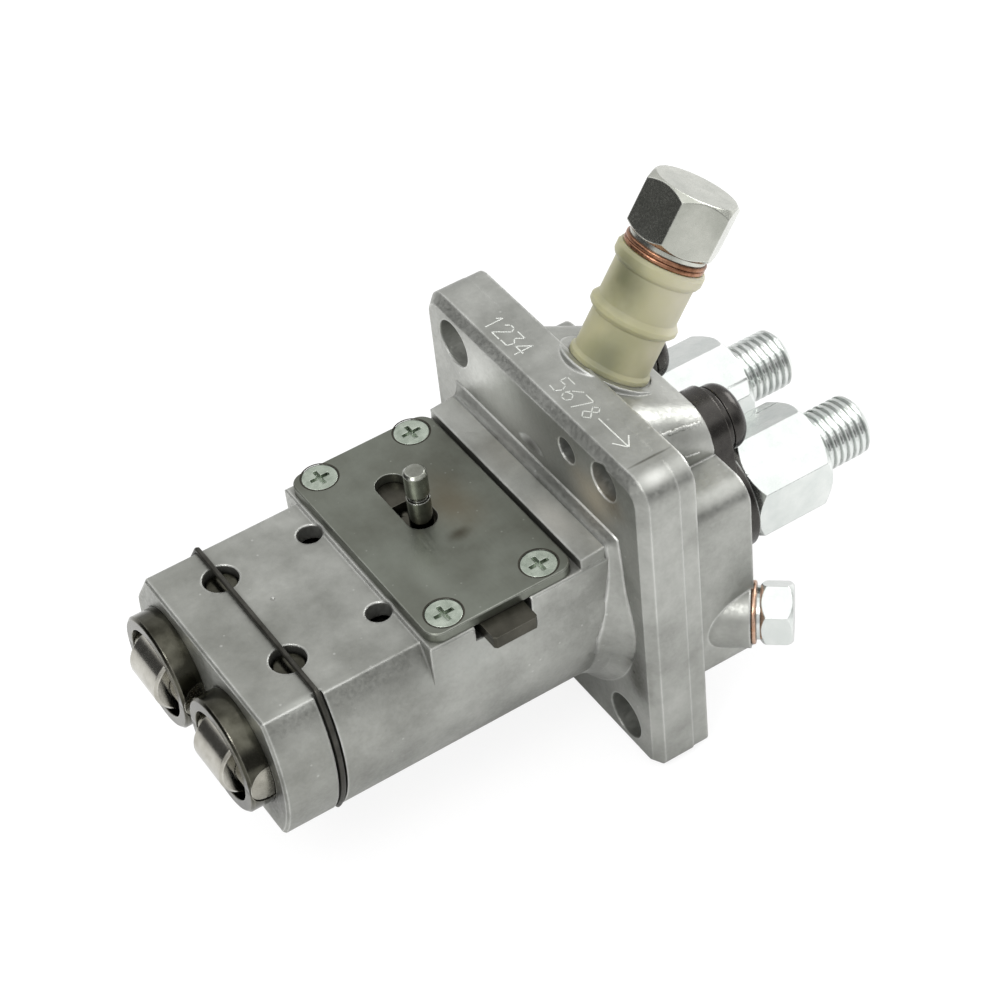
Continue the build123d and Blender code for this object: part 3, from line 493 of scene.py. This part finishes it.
# Drawn spring wire with a dark patented skin.
DARK_WIRE = MetalFinish(
    "dark drawn wire", light="#4A4944", dark="#35342F", worn="#6C6A63", corner_shade="#171612",
    metallic=0.8, rough_low=0.35, rough_high=0.5, patch_mm=3.0, grain_mm=0.3, bump_mm=0.005, edge_mm=0.1)
# Soft copper washers, pressed and a little dull.
SOFT_COPPER = MetalFinish(
    "soft copper", light="#B4866C", dark="#7A553F", worn="#DCC0AC", corner_shade="#3A251B", grain=Grain.TURNED,
    rough_low=0.24, rough_high=0.36, patch_mm=2.5, grain_mm=0.4, bump_mm=0.004,
    turn=(0.0, -35.0, 0.0), ring_axis="Z")
# Copper of the bleed washer, pressed nearly bare of its colour by the screw.
PALE_COPPER = replace(
    SOFT_COPPER, name="pressed pale copper", light="#D6B49E", dark="#B08A72", worn="#F0D6C4",
    corner_shade="#5A3C2C", turn=(0.0, 0.0, 0.0), ring_axis="X")
# Fresh bright metal thrown up by the marking tool on the flange.
FRESH_CUT = MetalFinish(
    "fresh marking cut", light="#E6E8E3", dark="#CFD2CC", worn="#FFFFFF", corner_shade="#8E908A",
    metallic=0.8, rough_low=0.35, rough_high=0.5, patch_mm=1.0, grain_mm=0.2, bump_mm=0.01, edge_mm=0.05)


def dress(pieces: Sequence[bpy.types.Object], material: Material) -> None:
    """Give each piece one material through its object's own slots.

    Args:
        pieces: the objects to dress.
        material: the finish that they all take.
    """
    for piece in pieces:
        if not piece.material_slots:
            piece.data.materials.append(material)
        for place in piece.material_slots:
            place.link = "OBJECT"
            place.material = material
        log.info("dressed %s in %s", piece.name, material.name)


def cad_nodes(*starts: str) -> list[bpy.types.Object]:
    """Give the CAD nodes whose names start with any of these words.

    Args:
        starts: the words.

    Returns:
        The nodes' objects, in the order of their names.
    """
    return [node for name, node in sorted(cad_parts.items()) if name.startswith(starts)]


def link_mesh(name: str, mesh: BMesh) -> bpy.types.Object:
    """Turn a bmesh into an object of the scene.

    Args:
        name: the object's name.
        mesh: the bmesh, in metres in the shared frame; it is freed.

    Returns:
        The new object.
    """
    data = bpy.data.meshes.new(name)
    mesh.to_mesh(data)
    mesh.free()
    linked = bpy.data.objects.new(name, data)
    bpy.context.scene.collection.objects.link(linked)
    return linked


def new_piece(name: str, mesh: BMesh, body: str,
              material: Material) -> bpy.types.Object:
    """Turn a bmesh into a finished piece that rides on a body.

    Args:
        name: the piece's name.
        mesh: the bmesh, in metres in the shared frame; it is freed.
        body: the CAD body that carries the piece.
        material: the finish.

    Returns:
        The new object.
    """
    piece = link_mesh(name, mesh)
    dress([piece], material)
    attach(piece, body)
    return piece


@dataclass
class Casting:
    """The cast body, with the marks stamped on top of its flange."""

    mark_top_mm: float = 35.7
    digit_width_mm: float = 1.15
    digit_height_mm: float = 1.25
    dot_mm: float = 0.19
    dot_gap_mm: float = 0.30
    number_start_mm: tuple[float, float] = (3.1, 18.9)
    second_number_start_mm: tuple[float, float] = (3.3, -2.6)
    digit_step_mm: float = 3.0
    arrow_start_mm: tuple[float, float] = (5.3, -15.0)
    arrow_length_mm: float = 9.0
    sunk_mm: float = 0.1
    dot_height_share: float = 0.35
    barb_mm: tuple[float, float] = (2.4, 1.6)
    hollow_steps: int = 10
    hollow_power: float = 1.8
    # Down the near side: Y, Z, the turn of its outward way in degrees, and its reach along X and outward.
    corner_near: tuple[tuple[float, ...], ...] = (
        (-25.4, 16.6, 0, 2.0, 2.0), (-25.7, 14.2, 0, 2.0, 2.0), (-25.8, 10.0, 0, 2.3, 2.2),
        (-25.8, 7.0, 0, 2.8, 2.5), (-26.1, 4.0, 9, 3.8, 3.0), (-26.5, 0.0, 0, 5.0, 3.7),
        (-26.35, -2.8, -6, 5.9, 4.25), (-26.0, -5.1, -11, 6.2, 4.4), (-25.5, -7.3, -16, 6.1, 4.4),
        (-23.8, -11.6, -26, 5.2, 3.8))
    # Along the top, from the far side to the near one: Y, and the Y and Z of its outward way.
    corner_top: tuple[Point, ...] = (
        (24.1, 0.8, 0.9), (23.0, 0.0, 1.0), (-24.3, 0.0, 1.0), (-25.4, -0.8, 0.9))
    corner_top_mm: float = 17.3
    corner_top_reach_mm: float = 2.0
    far_shift_mm: float = 1.3
    far_shift_above_mm: float = 12.0
    beads_mm: tuple[tuple[tuple[Point, ...], float], ...] = (
        (((15.9, -17.9, 28.0), (18.4, -17.6, 27.1), (21.0, -17.2, 26.2), (25.0, -16.6, 24.7)), 0.50),
        (((19.6, -19.35, 21.6), (22.7, -19.3, 20.8)), 0.24),
        (((-53.4, 2.1, 14.1), (-53.1, 2.3, 14.1)), 0.34),
    )
    bead_seed: int = 7
    bead_gap_share: float = 0.7
    bead_shift_share: float = 0.25
    bead_size_range: tuple[float, float] = (0.7, 1.15)
    cast: Material = field(default_factory=CAST_ALUMINIUM.material)
    fresh: Material = field(default_factory=FRESH_CUT.material)

    def build(self) -> None:
        """Dress the casting, round its inner corner and add its marks."""
        dress(cad_nodes("pump_body"), self.cast)
        self.inner_corner()
        self.cast_beads()
        self.stamp_marks()

    def inner_corner(self) -> None:
        """Round the hollow corner at the flange's front, which widens to a flare below the shoulder."""
        far = tuple((-y - self.far_shift_mm * (z > self.far_shift_above_mm), z, turn, along, out)
                    for y, z, turn, along, out in self.corner_near)
        stations = [((0.0, y, z), (0.0, cos(radians(turn)), sin(radians(turn))), along, out)
                    for y, z, turn, along, out in reversed(far)]
        reach = self.corner_top_reach_mm
        stations += [((0.0, y, self.corner_top_mm), (0.0, across, up), reach, reach)
                     for y, across, up in self.corner_top]
        stations += [((0.0, y, z), (0.0, -cos(radians(turn)), sin(radians(turn))), along, out)
                     for y, z, turn, along, out in self.corner_near]
        mesh = bmesh.new()
        rings = []
        for corner, way, along, out in stations:
            base, outward = Vector(corner), Vector(way)
            ring = [base + Vector((self.sunk_mm, 0, 0)) - outward * self.sunk_mm]
            ring.append(base + Vector((-along, 0, 0)) - outward * self.sunk_mm)
            for step in range(self.hollow_steps + 1):
                share = step / self.hollow_steps
                rise = outward * out * share ** self.hollow_power
                ring.append(base + Vector((-along * (1 - share), 0, 0)) + rise)
            ring.append(base + Vector((self.sunk_mm, 0, 0)) + outward * out)
            rings.append([mesh.verts.new(point * MM) for point in ring])
        for one, two in zip(rings, rings[1:]):
            for number in range(len(one)):
                following = (number + 1) % len(one)
                mesh.faces.new((one[number], one[following], two[following], two[number]))
        mesh.faces.new(rings[0])
        mesh.faces.new(rings[-1])
        bmesh.ops.recalc_face_normals(mesh, faces=mesh.faces)
        for face in mesh.faces:
            face.smooth = len(face.verts) == 4
        new_piece("cast_fillet", mesh, "pump", self.cast)

    def cast_beads(self) -> None:
        """Add the rough beads that the mould left on the head and the small pip on the spigot."""
        mesh = bmesh.new()
        chance = Random(self.bead_seed)
        shift = self.bead_shift_share
        for points, radius in self.beads_mm:
            for start, end in zip(points, points[1:]):
                first, last = Vector(start), Vector(end)
                steps = max(1, round((last - first).length / (radius * self.bead_gap_share)))
                for step in range(steps):
                    place = first.lerp(last, step / steps)
                    place += Vector(chance.uniform(-shift, shift) * radius for _ in range(3))
                    size = radius * chance.uniform(*self.bead_size_range) * MM
                    bmesh.ops.create_icosphere(mesh, subdivisions=2, radius=size,
                                               matrix=Matrix.Translation(place * MM))
        for face in mesh.faces:
            face.smooth = True
        new_piece("cast_beads", mesh, "pump", self.cast)

    def on_flange(self, across: float, up: float, start: tuple[float, float]) -> Vector:
        """Place a point of a mark on the flange's top.

        Args:
            across: how far along the line of digits, in millimetres.
            up: how far up the digit, in millimetres.
            start: the corner where the line begins, as X and Y in millimetres.

        Returns:
            The point in metres.
        """
        return Vector((start[0] + up, start[1] - across, self.mark_top_mm)) * MM

    def stroke(self, mesh: BMesh, start: Vector, end: Vector) -> None:
        """Add one stroke as a row of small flat dots.

        Args:
            mesh: the bmesh that gets the dots.
            start: where the stroke begins, in metres.
            end: where the stroke ends, in metres.
        """
        steps = max(1, round((end - start).length / (self.dot_gap_mm * MM)))
        for step in range(steps + 1):
            flat = Matrix.Diagonal((1.0, 1.0, self.dot_height_share, 1.0))
            place = Matrix.Translation(start.lerp(end, step / steps)) @ flat
            bmesh.ops.create_icosphere(mesh, subdivisions=1, radius=self.dot_mm * MM, matrix=place)

    def stamp_marks(self) -> None:
        """Stamp two groups of plain digits and a plain arrow."""
        mesh = bmesh.new()
        first = (Digit.ONE, Digit.TWO, Digit.THREE, Digit.FOUR)
        second = (Digit.FIVE, Digit.SIX, Digit.SEVEN, Digit.EIGHT)
        for digits, place in ((first, self.number_start_mm), (second, self.second_number_start_mm)):
            for number, digit in enumerate(digits):
                for line in digit.value:
                    points = [self.on_flange(number * self.digit_step_mm + x * self.digit_width_mm,
                                             y * self.digit_height_mm, place) for x, y in line]
                    for start, end in zip(points, points[1:]):
                        self.stroke(mesh, start, end)
        tail = self.on_flange(0.0, 0.0, self.arrow_start_mm)
        tip = self.on_flange(self.arrow_length_mm, 0.0, self.arrow_start_mm)
        self.stroke(mesh, tail, tip)
        back, aside = self.barb_mm
        for side in (aside, -aside):
            barb = self.on_flange(self.arrow_length_mm - back, side, self.arrow_start_mm)
            self.stroke(mesh, barb, tip)
        new_piece("flange_marks", mesh, "pump", self.fresh)


@dataclass
class CoverAndRack:
    """The cover plate with its screws, and the rack with its pin."""

    plate_ends_mm: tuple[float, float] = (-37.4, -7.9)
    plate_top_mm: float = 16.7
    screw_pitch_mm: tuple[float, float] = (19.48, 42.4)
    ring_mm: tuple[float, float] = (3.36, 3.66)
    ring_steps: int = 48
    film_mm: float = 0.015
    plate: Material = field(default_factory=ROLLED_STEEL.material)
    rack: Material = field(default_factory=RACK_STEEL.material)
    pin: Material = field(default_factory=PIN_STEEL.material)
    screw: Material = field(default_factory=PALE_ZINC.material)

    def build(self) -> None:
        """Dress the plate, the rack, its pin and the screws."""
        dress(cad_nodes("cover_plate"), self.plate)
        dress(cad_nodes("control_rack", "control_sleeve", "lower_spring_seat",
                        "upper_spring_seat"), self.rack)
        dress(cad_nodes("rack_pin"), self.pin)
        dress(cad_nodes("cover_screw"), self.screw)
        self.painted_gap_shade()

    def painted_gap_shade(self) -> None:
        """Lay a flat dark ring on the plate round each countersunk head, painted shade that stands in for the
        narrow gap there and outlines the head.
        """
        mesh = bmesh.new()
        middle = (self.plate_ends_mm[0] + self.plate_ends_mm[1]) / 2
        for side in (-1, 1):
            for end in (-1, 1):
                place = Vector((middle + side * self.screw_pitch_mm[0] / 2, end * self.screw_pitch_mm[1] / 2,
                                self.plate_top_mm + self.film_mm))
                rings = []
                for radius in self.ring_mm:
                    ways = [2 * pi * step / self.ring_steps for step in range(self.ring_steps)]
                    rings.append([mesh.verts.new((place + Vector((cos(way), sin(way), 0)) * radius) * MM)
                                  for way in ways])
                for number in range(self.ring_steps):
                    following = (number + 1) % self.ring_steps
                    mesh.faces.new((rings[0][number], rings[1][number],
                                    rings[1][following], rings[0][following]))
        new_piece("painted_shade_rings", mesh, "pump", self.rack)


@dataclass
class Tappets:
    """The tappets with their rollers, guide pins and retaining wire."""

    wire_x_mm: float = -58.3
    wire_side_mm: float = 26.35
    wire_mm: float = 0.52
    wire_flats: tuple[tuple[float, float], ...] = ((90.0, 14.75), (34.3, 25.26), (270.0, 15.3))
    wire_steps: int = 240
    wire_sides: int = 12
    ground: Material = field(default_factory=TAPPET_STEEL.material)
    bright: Material = field(default_factory=BRIGHT_STEEL.material)
    run: Material = field(default_factory=ROLLER_STEEL.material)
    wire: Material = field(default_factory=DARK_WIRE.material)

    def build(self) -> None:
        """Dress the tappets and all that runs in them."""
        dress(cad_nodes("tappet", "guide_pin"), self.ground)
        dress(cad_nodes("roller_1", "roller_2"), self.run)
        dress(cad_nodes("roller_pin", "adjusting_shim", "plunger_1", "plunger_2", "delivery_valve",
                        "valve_seat"), self.bright)
        dress(cad_nodes("plunger_spring", "delivery_spring"), self.wire)
        self.drawn_wire()

    def wire_reach(self, way: float) -> float:
        """Give the wire loop's distance from the spigot's axis in one direction.

        Args:
            way: the direction as an angle from Y towards Z, in radians.

        Returns:
            The distance in millimetres, drawn in wherever a flat or the bevel cuts the round spigot.
        """
        reach = self.wire_side_mm
        for turn, limit in self.wire_flats:
            lean = cos(way - radians(turn))
            if lean > 0:
                reach = min(reach, limit / lean)
        return reach

    def drawn_wire(self) -> None:
        """Bend the retaining wire so that it lies close along the top flat, the bevel and the round sides."""
        mesh = bmesh.new()
        ways = [2 * pi * step / self.wire_steps for step in range(self.wire_steps)]
        path = [Vector((self.wire_x_mm, self.wire_reach(way) * cos(way), self.wire_reach(way) * sin(way)))
                for way in ways]
        rings = []
        for number, place in enumerate(path):
            ahead = (path[(number + 1) % len(path)] - path[number - 1]).normalized()
            outward = ahead.cross(Vector((1, 0, 0)))
            rings.append([mesh.verts.new((place + (outward * cos(turn) + Vector((1, 0, 0)) * sin(turn))
                                          * self.wire_mm) * MM)
                          for turn in (2 * pi * step / self.wire_sides for step in range(self.wire_sides))])
        for number, one in enumerate(rings):
            two = rings[(number + 1) % len(rings)]
            for corner in range(self.wire_sides):
                following = (corner + 1) % self.wire_sides
                mesh.faces.new((one[corner], one[following], two[following], two[corner])).smooth = True
        bmesh.ops.recalc_face_normals(mesh, faces=mesh.faces)
        piece = new_piece("drawn_wire", mesh, "pump", self.wire)
        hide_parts("retaining_wire")


@dataclass
class Outlets:
    """The delivery holders with their pipe threads, and the black clamping set behind them."""

    element_y_mm: float = 12.0
    holder_cut_mm: float = 51.1
    pitch_mm: float = 1.5
    crest_mm: float = 6.0
    crest_break_mm: float = 0.06
    root_mm: float = 5.35
    thread_from_mm: float = 50.6
    end_mm: float = 62.9
    chamfer_mm: float = 0.9
    way_mm: float = 1.1
    cone_mm: float = 3.2
    cone_depth_mm: float = 3.4
    way_depth_mm: float = 4.0
    rim_break_mm: float = 0.05
    mouth_break_mm: float = 0.1
    turn_steps: int = 48
    zinc: Material = field(default_factory=BRIGHT_ZINC.material)
    black: Material = field(default_factory=BLACK_OXIDE.material)
    copper: Material = field(default_factory=SOFT_COPPER.material)

    def build(self) -> None:
        """Dress the clamps and put a threaded holder in each element."""
        dress(cad_nodes("barrel", "clamp_bolt", "lock_washer"), self.black)
        dress(cad_nodes("holder_gasket"), self.copper)
        for number, y in ((1, self.element_y_mm), (2, -self.element_y_mm)):
            self.threaded_holder(number, y)

    def threaded_holder(self, number: int, y_mm: float) -> None:
        """Build one holder: the CAD hexagon with a real thread in place of its plain end.

        Args:
            number: the element's number.
            y_mm: the element's place across the pump.
        """
        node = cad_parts["delivery_holder_" + str(number)]
        mesh = bmesh.new()
        mesh.from_mesh(node.data)
        bmesh.ops.remove_doubles(mesh, verts=mesh.verts, dist=WELD_M)
        bmesh.ops.bisect_plane(mesh, geom=mesh.verts[:] + mesh.edges[:] + mesh.faces[:],
                               plane_co=(self.holder_cut_mm * MM, 0, 0), plane_no=(1, 0, 0),
                               clear_outer=True)
        self.add_thread(mesh, y_mm)
        self.add_end(mesh, y_mm)
        piece = new_piece("threaded_holder_" + str(number), mesh, "pump", self.zinc)
        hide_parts(node.name)

    def add_thread(self, mesh: BMesh, y_mm: float) -> None:
        """Spin one pitch of the thread's outline along a helix and trim both ends.

        Args:
            mesh: the bmesh that gets the thread.
            y_mm: the element's place across the pump.
        """
        turns = int((self.end_mm - self.thread_from_mm) / self.pitch_mm) + 3
        start = self.thread_from_mm - self.pitch_mm
        shoulder = self.crest_mm - self.crest_break_mm
        outline = ((0.0, self.root_mm), (0.20, self.root_mm), (0.50, shoulder), (0.60, self.crest_mm),
                   (1.10, self.crest_mm), (1.20, shoulder), (1.45, self.root_mm),
                   (self.pitch_mm, self.root_mm))
        thread = bmesh.new()
        points = [thread.verts.new(((start + x) * MM, y_mm * MM, r * MM)) for x, r in outline]
        edges = [thread.edges.new(pair) for pair in zip(points, points[1:])]
        steps = self.turn_steps * turns
        bmesh.ops.spin(thread, geom=points + edges, cent=(0, y_mm * MM, 0), axis=(1, 0, 0),
                       angle=2 * pi * turns, dvec=(self.pitch_mm * MM / self.turn_steps, 0, 0),
                       steps=steps, use_duplicate=False)
        bmesh.ops.remove_doubles(thread, verts=thread.verts, dist=2 * WELD_M)
        for plane, side in ((self.thread_from_mm, -1), (self.end_mm, 1)):
            bmesh.ops.bisect_plane(thread, geom=thread.verts[:] + thread.edges[:] + thread.faces[:],
                                   plane_co=(plane * MM, 0, 0), plane_no=(side, 0, 0), clear_outer=True)
        for vertex in thread.verts:
            across = Vector((0.0, vertex.co.y - y_mm * MM, vertex.co.z))
            limit = (self.crest_mm - max(0.0, vertex.co.x / MM - self.end_mm + self.chamfer_mm)) * MM
            if across.length > limit:
                across *= limit / across.length
                vertex.co = Vector((vertex.co.x, y_mm * MM + across.y, across.z))
        bmesh.ops.recalc_face_normals(thread, faces=thread.faces)
        self.join(thread, mesh)

    def add_end(self, mesh: BMesh, y_mm: float) -> None:
        """Close the holder's end with the cone that the pipe seals on.

        Args:
            mesh: the bmesh that gets the end.
            y_mm: the element's place across the pump.
        """
        rim = self.crest_mm - self.chamfer_mm
        cone_x = self.end_mm - self.cone_depth_mm
        way_x = cone_x - self.way_depth_mm
        outline = ((self.end_mm - self.rim_break_mm, rim), (self.end_mm, rim - self.rim_break_mm),
                   (self.end_mm, self.cone_mm + self.mouth_break_mm),
                   (self.end_mm - self.mouth_break_mm, self.cone_mm), (cone_x, self.way_mm),
                   (way_x, self.way_mm), (way_x, 0.0))
        end = bmesh.new()
        points = [end.verts.new((x * MM, y_mm * MM, r * MM)) for x, r in outline]
        edges = [end.edges.new(pair) for pair in zip(points, points[1:])]
        bmesh.ops.spin(end, geom=points + edges, cent=(0, y_mm * MM, 0), axis=(1, 0, 0), angle=2 * pi,
                       steps=self.turn_steps, use_merge=True, use_duplicate=False)
        bmesh.ops.remove_doubles(end, verts=end.verts, dist=WELD_M)
        bmesh.ops.recalc_face_normals(end, faces=end.faces)
        self.join(end, mesh)

    @staticmethod
    def join(part: BMesh, whole: BMesh) -> None:
        """Add one bmesh to another.

        Args:
            part: the bmesh that is added; it is freed.
            whole: the bmesh that takes it.
        """
        data = bpy.data.meshes.new("part")
        part.to_mesh(data)
        part.free()
        whole.from_mesh(data)
        bpy.data.meshes.remove(data)


@dataclass
class FuelFittings:
    """The slanting inlet with its nylon sleeve, and the bleed screw."""

    zinc: Material = field(default_factory=BRIGHT_ZINC.material)
    copper: Material = field(default_factory=SOFT_COPPER.material)
    pale_copper: Material = field(default_factory=PALE_COPPER.material)
    dull: Material = field(default_factory=DULL_ZINC.material)
    nylon: Material = field(default_factory=NylonFinish().material)

    def build(self) -> None:
        """Dress the inlet and the bleed screw."""
        dress(cad_nodes("inlet_sleeve"), self.nylon)
        dress(cad_nodes("inlet_washer"), self.copper)
        dress(cad_nodes("bleed_washer"), self.pale_copper)
        dress(cad_nodes("inlet_bolt"), self.dull)
        dress(cad_nodes("bleed_screw"), self.zinc)


@dataclass(frozen=True)
class SkyPatch:
    """A soft round part of the studio's surroundings, lighter or darker than the rest of them.

    The angles are in degrees from its middle: full strength inside the first, none beyond the second.
    """

    towards: Point
    inner: float
    outer: float
    strength: float


@dataclass(frozen=True)
class SoftLamp:
    """A square soft lamp that looks at the pump, with its place and side in metres."""

    name: str
    place: Point
    side: float
    watts: float


@dataclass
class Studio:
    """The floor, the soft lights and the camera."""

    floor_mm: float = -35.75
    floor_size: float = 6.0
    white: float = 1.08
    seen_share: float = 0.80
    mirrored_share: float = 0.35
    # Painted shade in the floor's mirrored glow: its level far from the pump, its level beneath the pump, and
    # the spans over which each sets in.
    painted_dim_far_floor: float = 0.40
    painted_shade_under_pump: float = 0.25
    floor_fade_m: tuple[float, float] = (0.14, 0.34)
    pump_shade_m: tuple[float, float] = (0.03, 0.11)
    paper: tuple[float, float, float, float] = (0.86, 0.86, 0.86, 1.0)
    horizon: float = 0.62
    high_sky: float = 0.85
    high_from: float = 0.7
    lamps: tuple[SoftLamp, ...] = (
        SoftLamp("key", (-0.55, -0.30, 0.80), 0.40, 4.0),
        SoftLamp("rim", (0.75, 0.10, 0.45), 0.50, 4.0),
    )
    patches: tuple[SkyPatch, ...] = (
        SkyPatch((0.12, -0.28, 0.95), 24.0, 44.0, 1.45),
        SkyPatch((-0.86, 0.48, 0.15), 20.0, 48.0, 0.08),
        SkyPatch((0.34, -0.92, 0.22), 10.0, 30.0, 0.16),
        SkyPatch((-0.30, 0.636, 0.72), 8.0, 22.0, 1.35),
    )
    camera_place_mm: Point = (-177.21, -316.79, 357.40)
    camera_right: Point = (0.8372, -0.5402, -0.0846)
    camera_up: Point = (0.4279, 0.5510, 0.7164)
    camera_back: Point = (-0.3404, -0.6360, 0.6925)
    lens_mm: float = 99.96
    sensor_mm: float = 36.0
    clip_m: tuple[float, float] = (0.01, 50.0)

    def build(self) -> None:
        """Build the floor, the world, the lamps and the camera."""
        self.floor()
        self.world()
        for lamp in self.lamps:
            self.add_lamp(lamp)
        self.camera()
        bpy.context.scene.view_settings.view_transform = "Standard"

    def floor(self) -> None:
        """Lay a wide white floor that stays white to the eye and keeps a soft shadow; in the metal its glow
        carries painted shade, dropping beneath the pump and fading far from it.
        """
        mesh = bmesh.new()
        bmesh.ops.create_grid(mesh, x_segments=2, y_segments=2, size=self.floor_size,
                              matrix=Matrix.Translation((0, 0, self.floor_mm * MM)))
        floor = link_mesh("floor", mesh)
        material = new_material("white paper")
        tree = material.node_tree
        rays = add_node(tree, "ShaderNodeLightPath")
        plain = add_node(tree, "ShaderNodeMath", {
            0: rays.outputs["Is Camera Ray"], 1: rays.outputs["Is Transmission Ray"]},
            operation="MAXIMUM").outputs[0]
        mirrored = add_node(tree, "ShaderNodeMath", {
            0: rays.outputs["Is Glossy Ray"], 1: self.mirrored_share}, operation="MULTIPLY").outputs[0]
        share = add_node(tree, "ShaderNodeMath", {
            0: plain, 1: self.seen_share, 2: mirrored}, operation="MULTIPLY_ADD").outputs[0]
        place = add_node(tree, "ShaderNodeTexCoord").outputs["Object"]
        distance = add_node(tree, "ShaderNodeVectorMath", {0: place}, operation="LENGTH").outputs["Value"]
        # Painted shade: for mirrored rays the floor's glow fades far from the pump and drops to a fraction
        # beneath it.
        faded = add_node(tree, "ShaderNodeMapRange", {
            "Value": distance, "From Min": self.floor_fade_m[0], "From Max": self.floor_fade_m[1],
            "To Min": self.white, "To Max": self.painted_dim_far_floor}).outputs[0]
        shaded = add_node(tree, "ShaderNodeMapRange", {
            "Value": distance, "From Min": self.pump_shade_m[0], "From Max": self.pump_shade_m[1],
            "To Min": self.painted_shade_under_pump, "To Max": 1.0}, interpolation_type="SMOOTHSTEP").outputs[0]
        fading = add_node(tree, "ShaderNodeMath", {0: faded, 1: shaded}, operation="MULTIPLY").outputs[0]
        strength = add_node(tree, "ShaderNodeMix", {
            0: rays.outputs["Is Glossy Ray"], 2: self.white, 3: fading}).outputs[0]
        paper = add_node(tree, "ShaderNodeBsdfDiffuse", {"Color": self.paper}).outputs[0]
        glow = add_node(tree, "ShaderNodeEmission", {"Strength": strength}).outputs[0]
        both = add_node(tree, "ShaderNodeMixShader", {0: share, 1: paper, 2: glow}).outputs[0]
        add_node(tree, "ShaderNodeOutputMaterial", {"Surface": both})
        floor.data.materials.append(material)

    def world(self) -> None:
        """Light the scene softly from all round, with lighter and darker patches for the metal to mirror."""
        world = bpy.data.worlds.new("studio")
        bpy.context.scene.world = world
        world.use_nodes = True
        tree = world.node_tree
        tree.nodes.clear()
        way = add_node(tree, "ShaderNodeTexCoord").outputs["Generated"]
        parts = add_node(tree, "ShaderNodeSeparateXYZ", {"Vector": way})
        level = add_node(tree, "ShaderNodeMapRange", {
            "Value": parts.outputs["Z"], "From Min": 0.0, "From Max": self.high_from,
            "To Min": self.horizon, "To Max": self.high_sky}).outputs[0]
        for patch in self.patches:
            middle = tuple(Vector(patch.towards).normalized())
            nearness = add_node(tree, "ShaderNodeVectorMath", {0: way, 1: middle}, operation="DOT_PRODUCT")
            share = add_node(tree, "ShaderNodeMapRange", {
                "Value": nearness.outputs["Value"], "From Min": cos(radians(patch.outer)),
                "From Max": cos(radians(patch.inner))}, interpolation_type="SMOOTHSTEP").outputs[0]
            level = add_node(tree, "ShaderNodeMix", {0: share, 2: level, 3: patch.strength}).outputs[0]
        sky, white = (add_node(tree, "ShaderNodeBackground", {
            "Color": (1.0, 1.0, 1.0, 1.0), "Strength": strength}).outputs[0] for strength in (level, 1.0))
        camera_ray = add_node(tree, "ShaderNodeLightPath").outputs["Is Camera Ray"]
        both = add_node(tree, "ShaderNodeMixShader", {0: camera_ray, 1: sky, 2: white}).outputs[0]
        add_node(tree, "ShaderNodeOutputWorld", {"Surface": both})

    def add_lamp(self, lamp: SoftLamp) -> None:
        """Stand one lamp in the scene and turn it to the pump.

        Args:
            lamp: the lamp's name, place, side and power.
        """
        data = bpy.data.lights.new(lamp.name, "AREA")
        data.shape = "SQUARE"
        data.size = lamp.side
        data.energy = lamp.watts
        standing = bpy.data.objects.new(lamp.name, data)
        bpy.context.scene.collection.objects.link(standing)
        standing.location = lamp.place
        standing.rotation_euler = (-Vector(lamp.place)).to_track_quat("-Z", "Y").to_euler()

    def camera(self) -> None:
        """Stand the camera where the photograph was taken from."""
        data = bpy.data.cameras.new("camera")
        data.lens = self.lens_mm
        data.sensor_width = self.sensor_mm
        data.clip_start, data.clip_end = self.clip_m
        camera = bpy.data.objects.new("camera", data)
        bpy.context.scene.collection.objects.link(camera)
        columns = Matrix((self.camera_right, self.camera_up, self.camera_back)).transposed()
        camera.matrix_world = Matrix.Translation(Vector(self.camera_place_mm) * MM) @ columns.to_4x4()
        bpy.context.scene.camera = camera


def main() -> None:
    """Build every sub-assembly in order and report it."""
    for part in (Casting(), CoverAndRack(), Tappets(), Outlets(), FuelFittings(), Studio()):
        part.build()
        log.info("built %s", type(part).__name__)


if __name__ == "__main__":
    main()
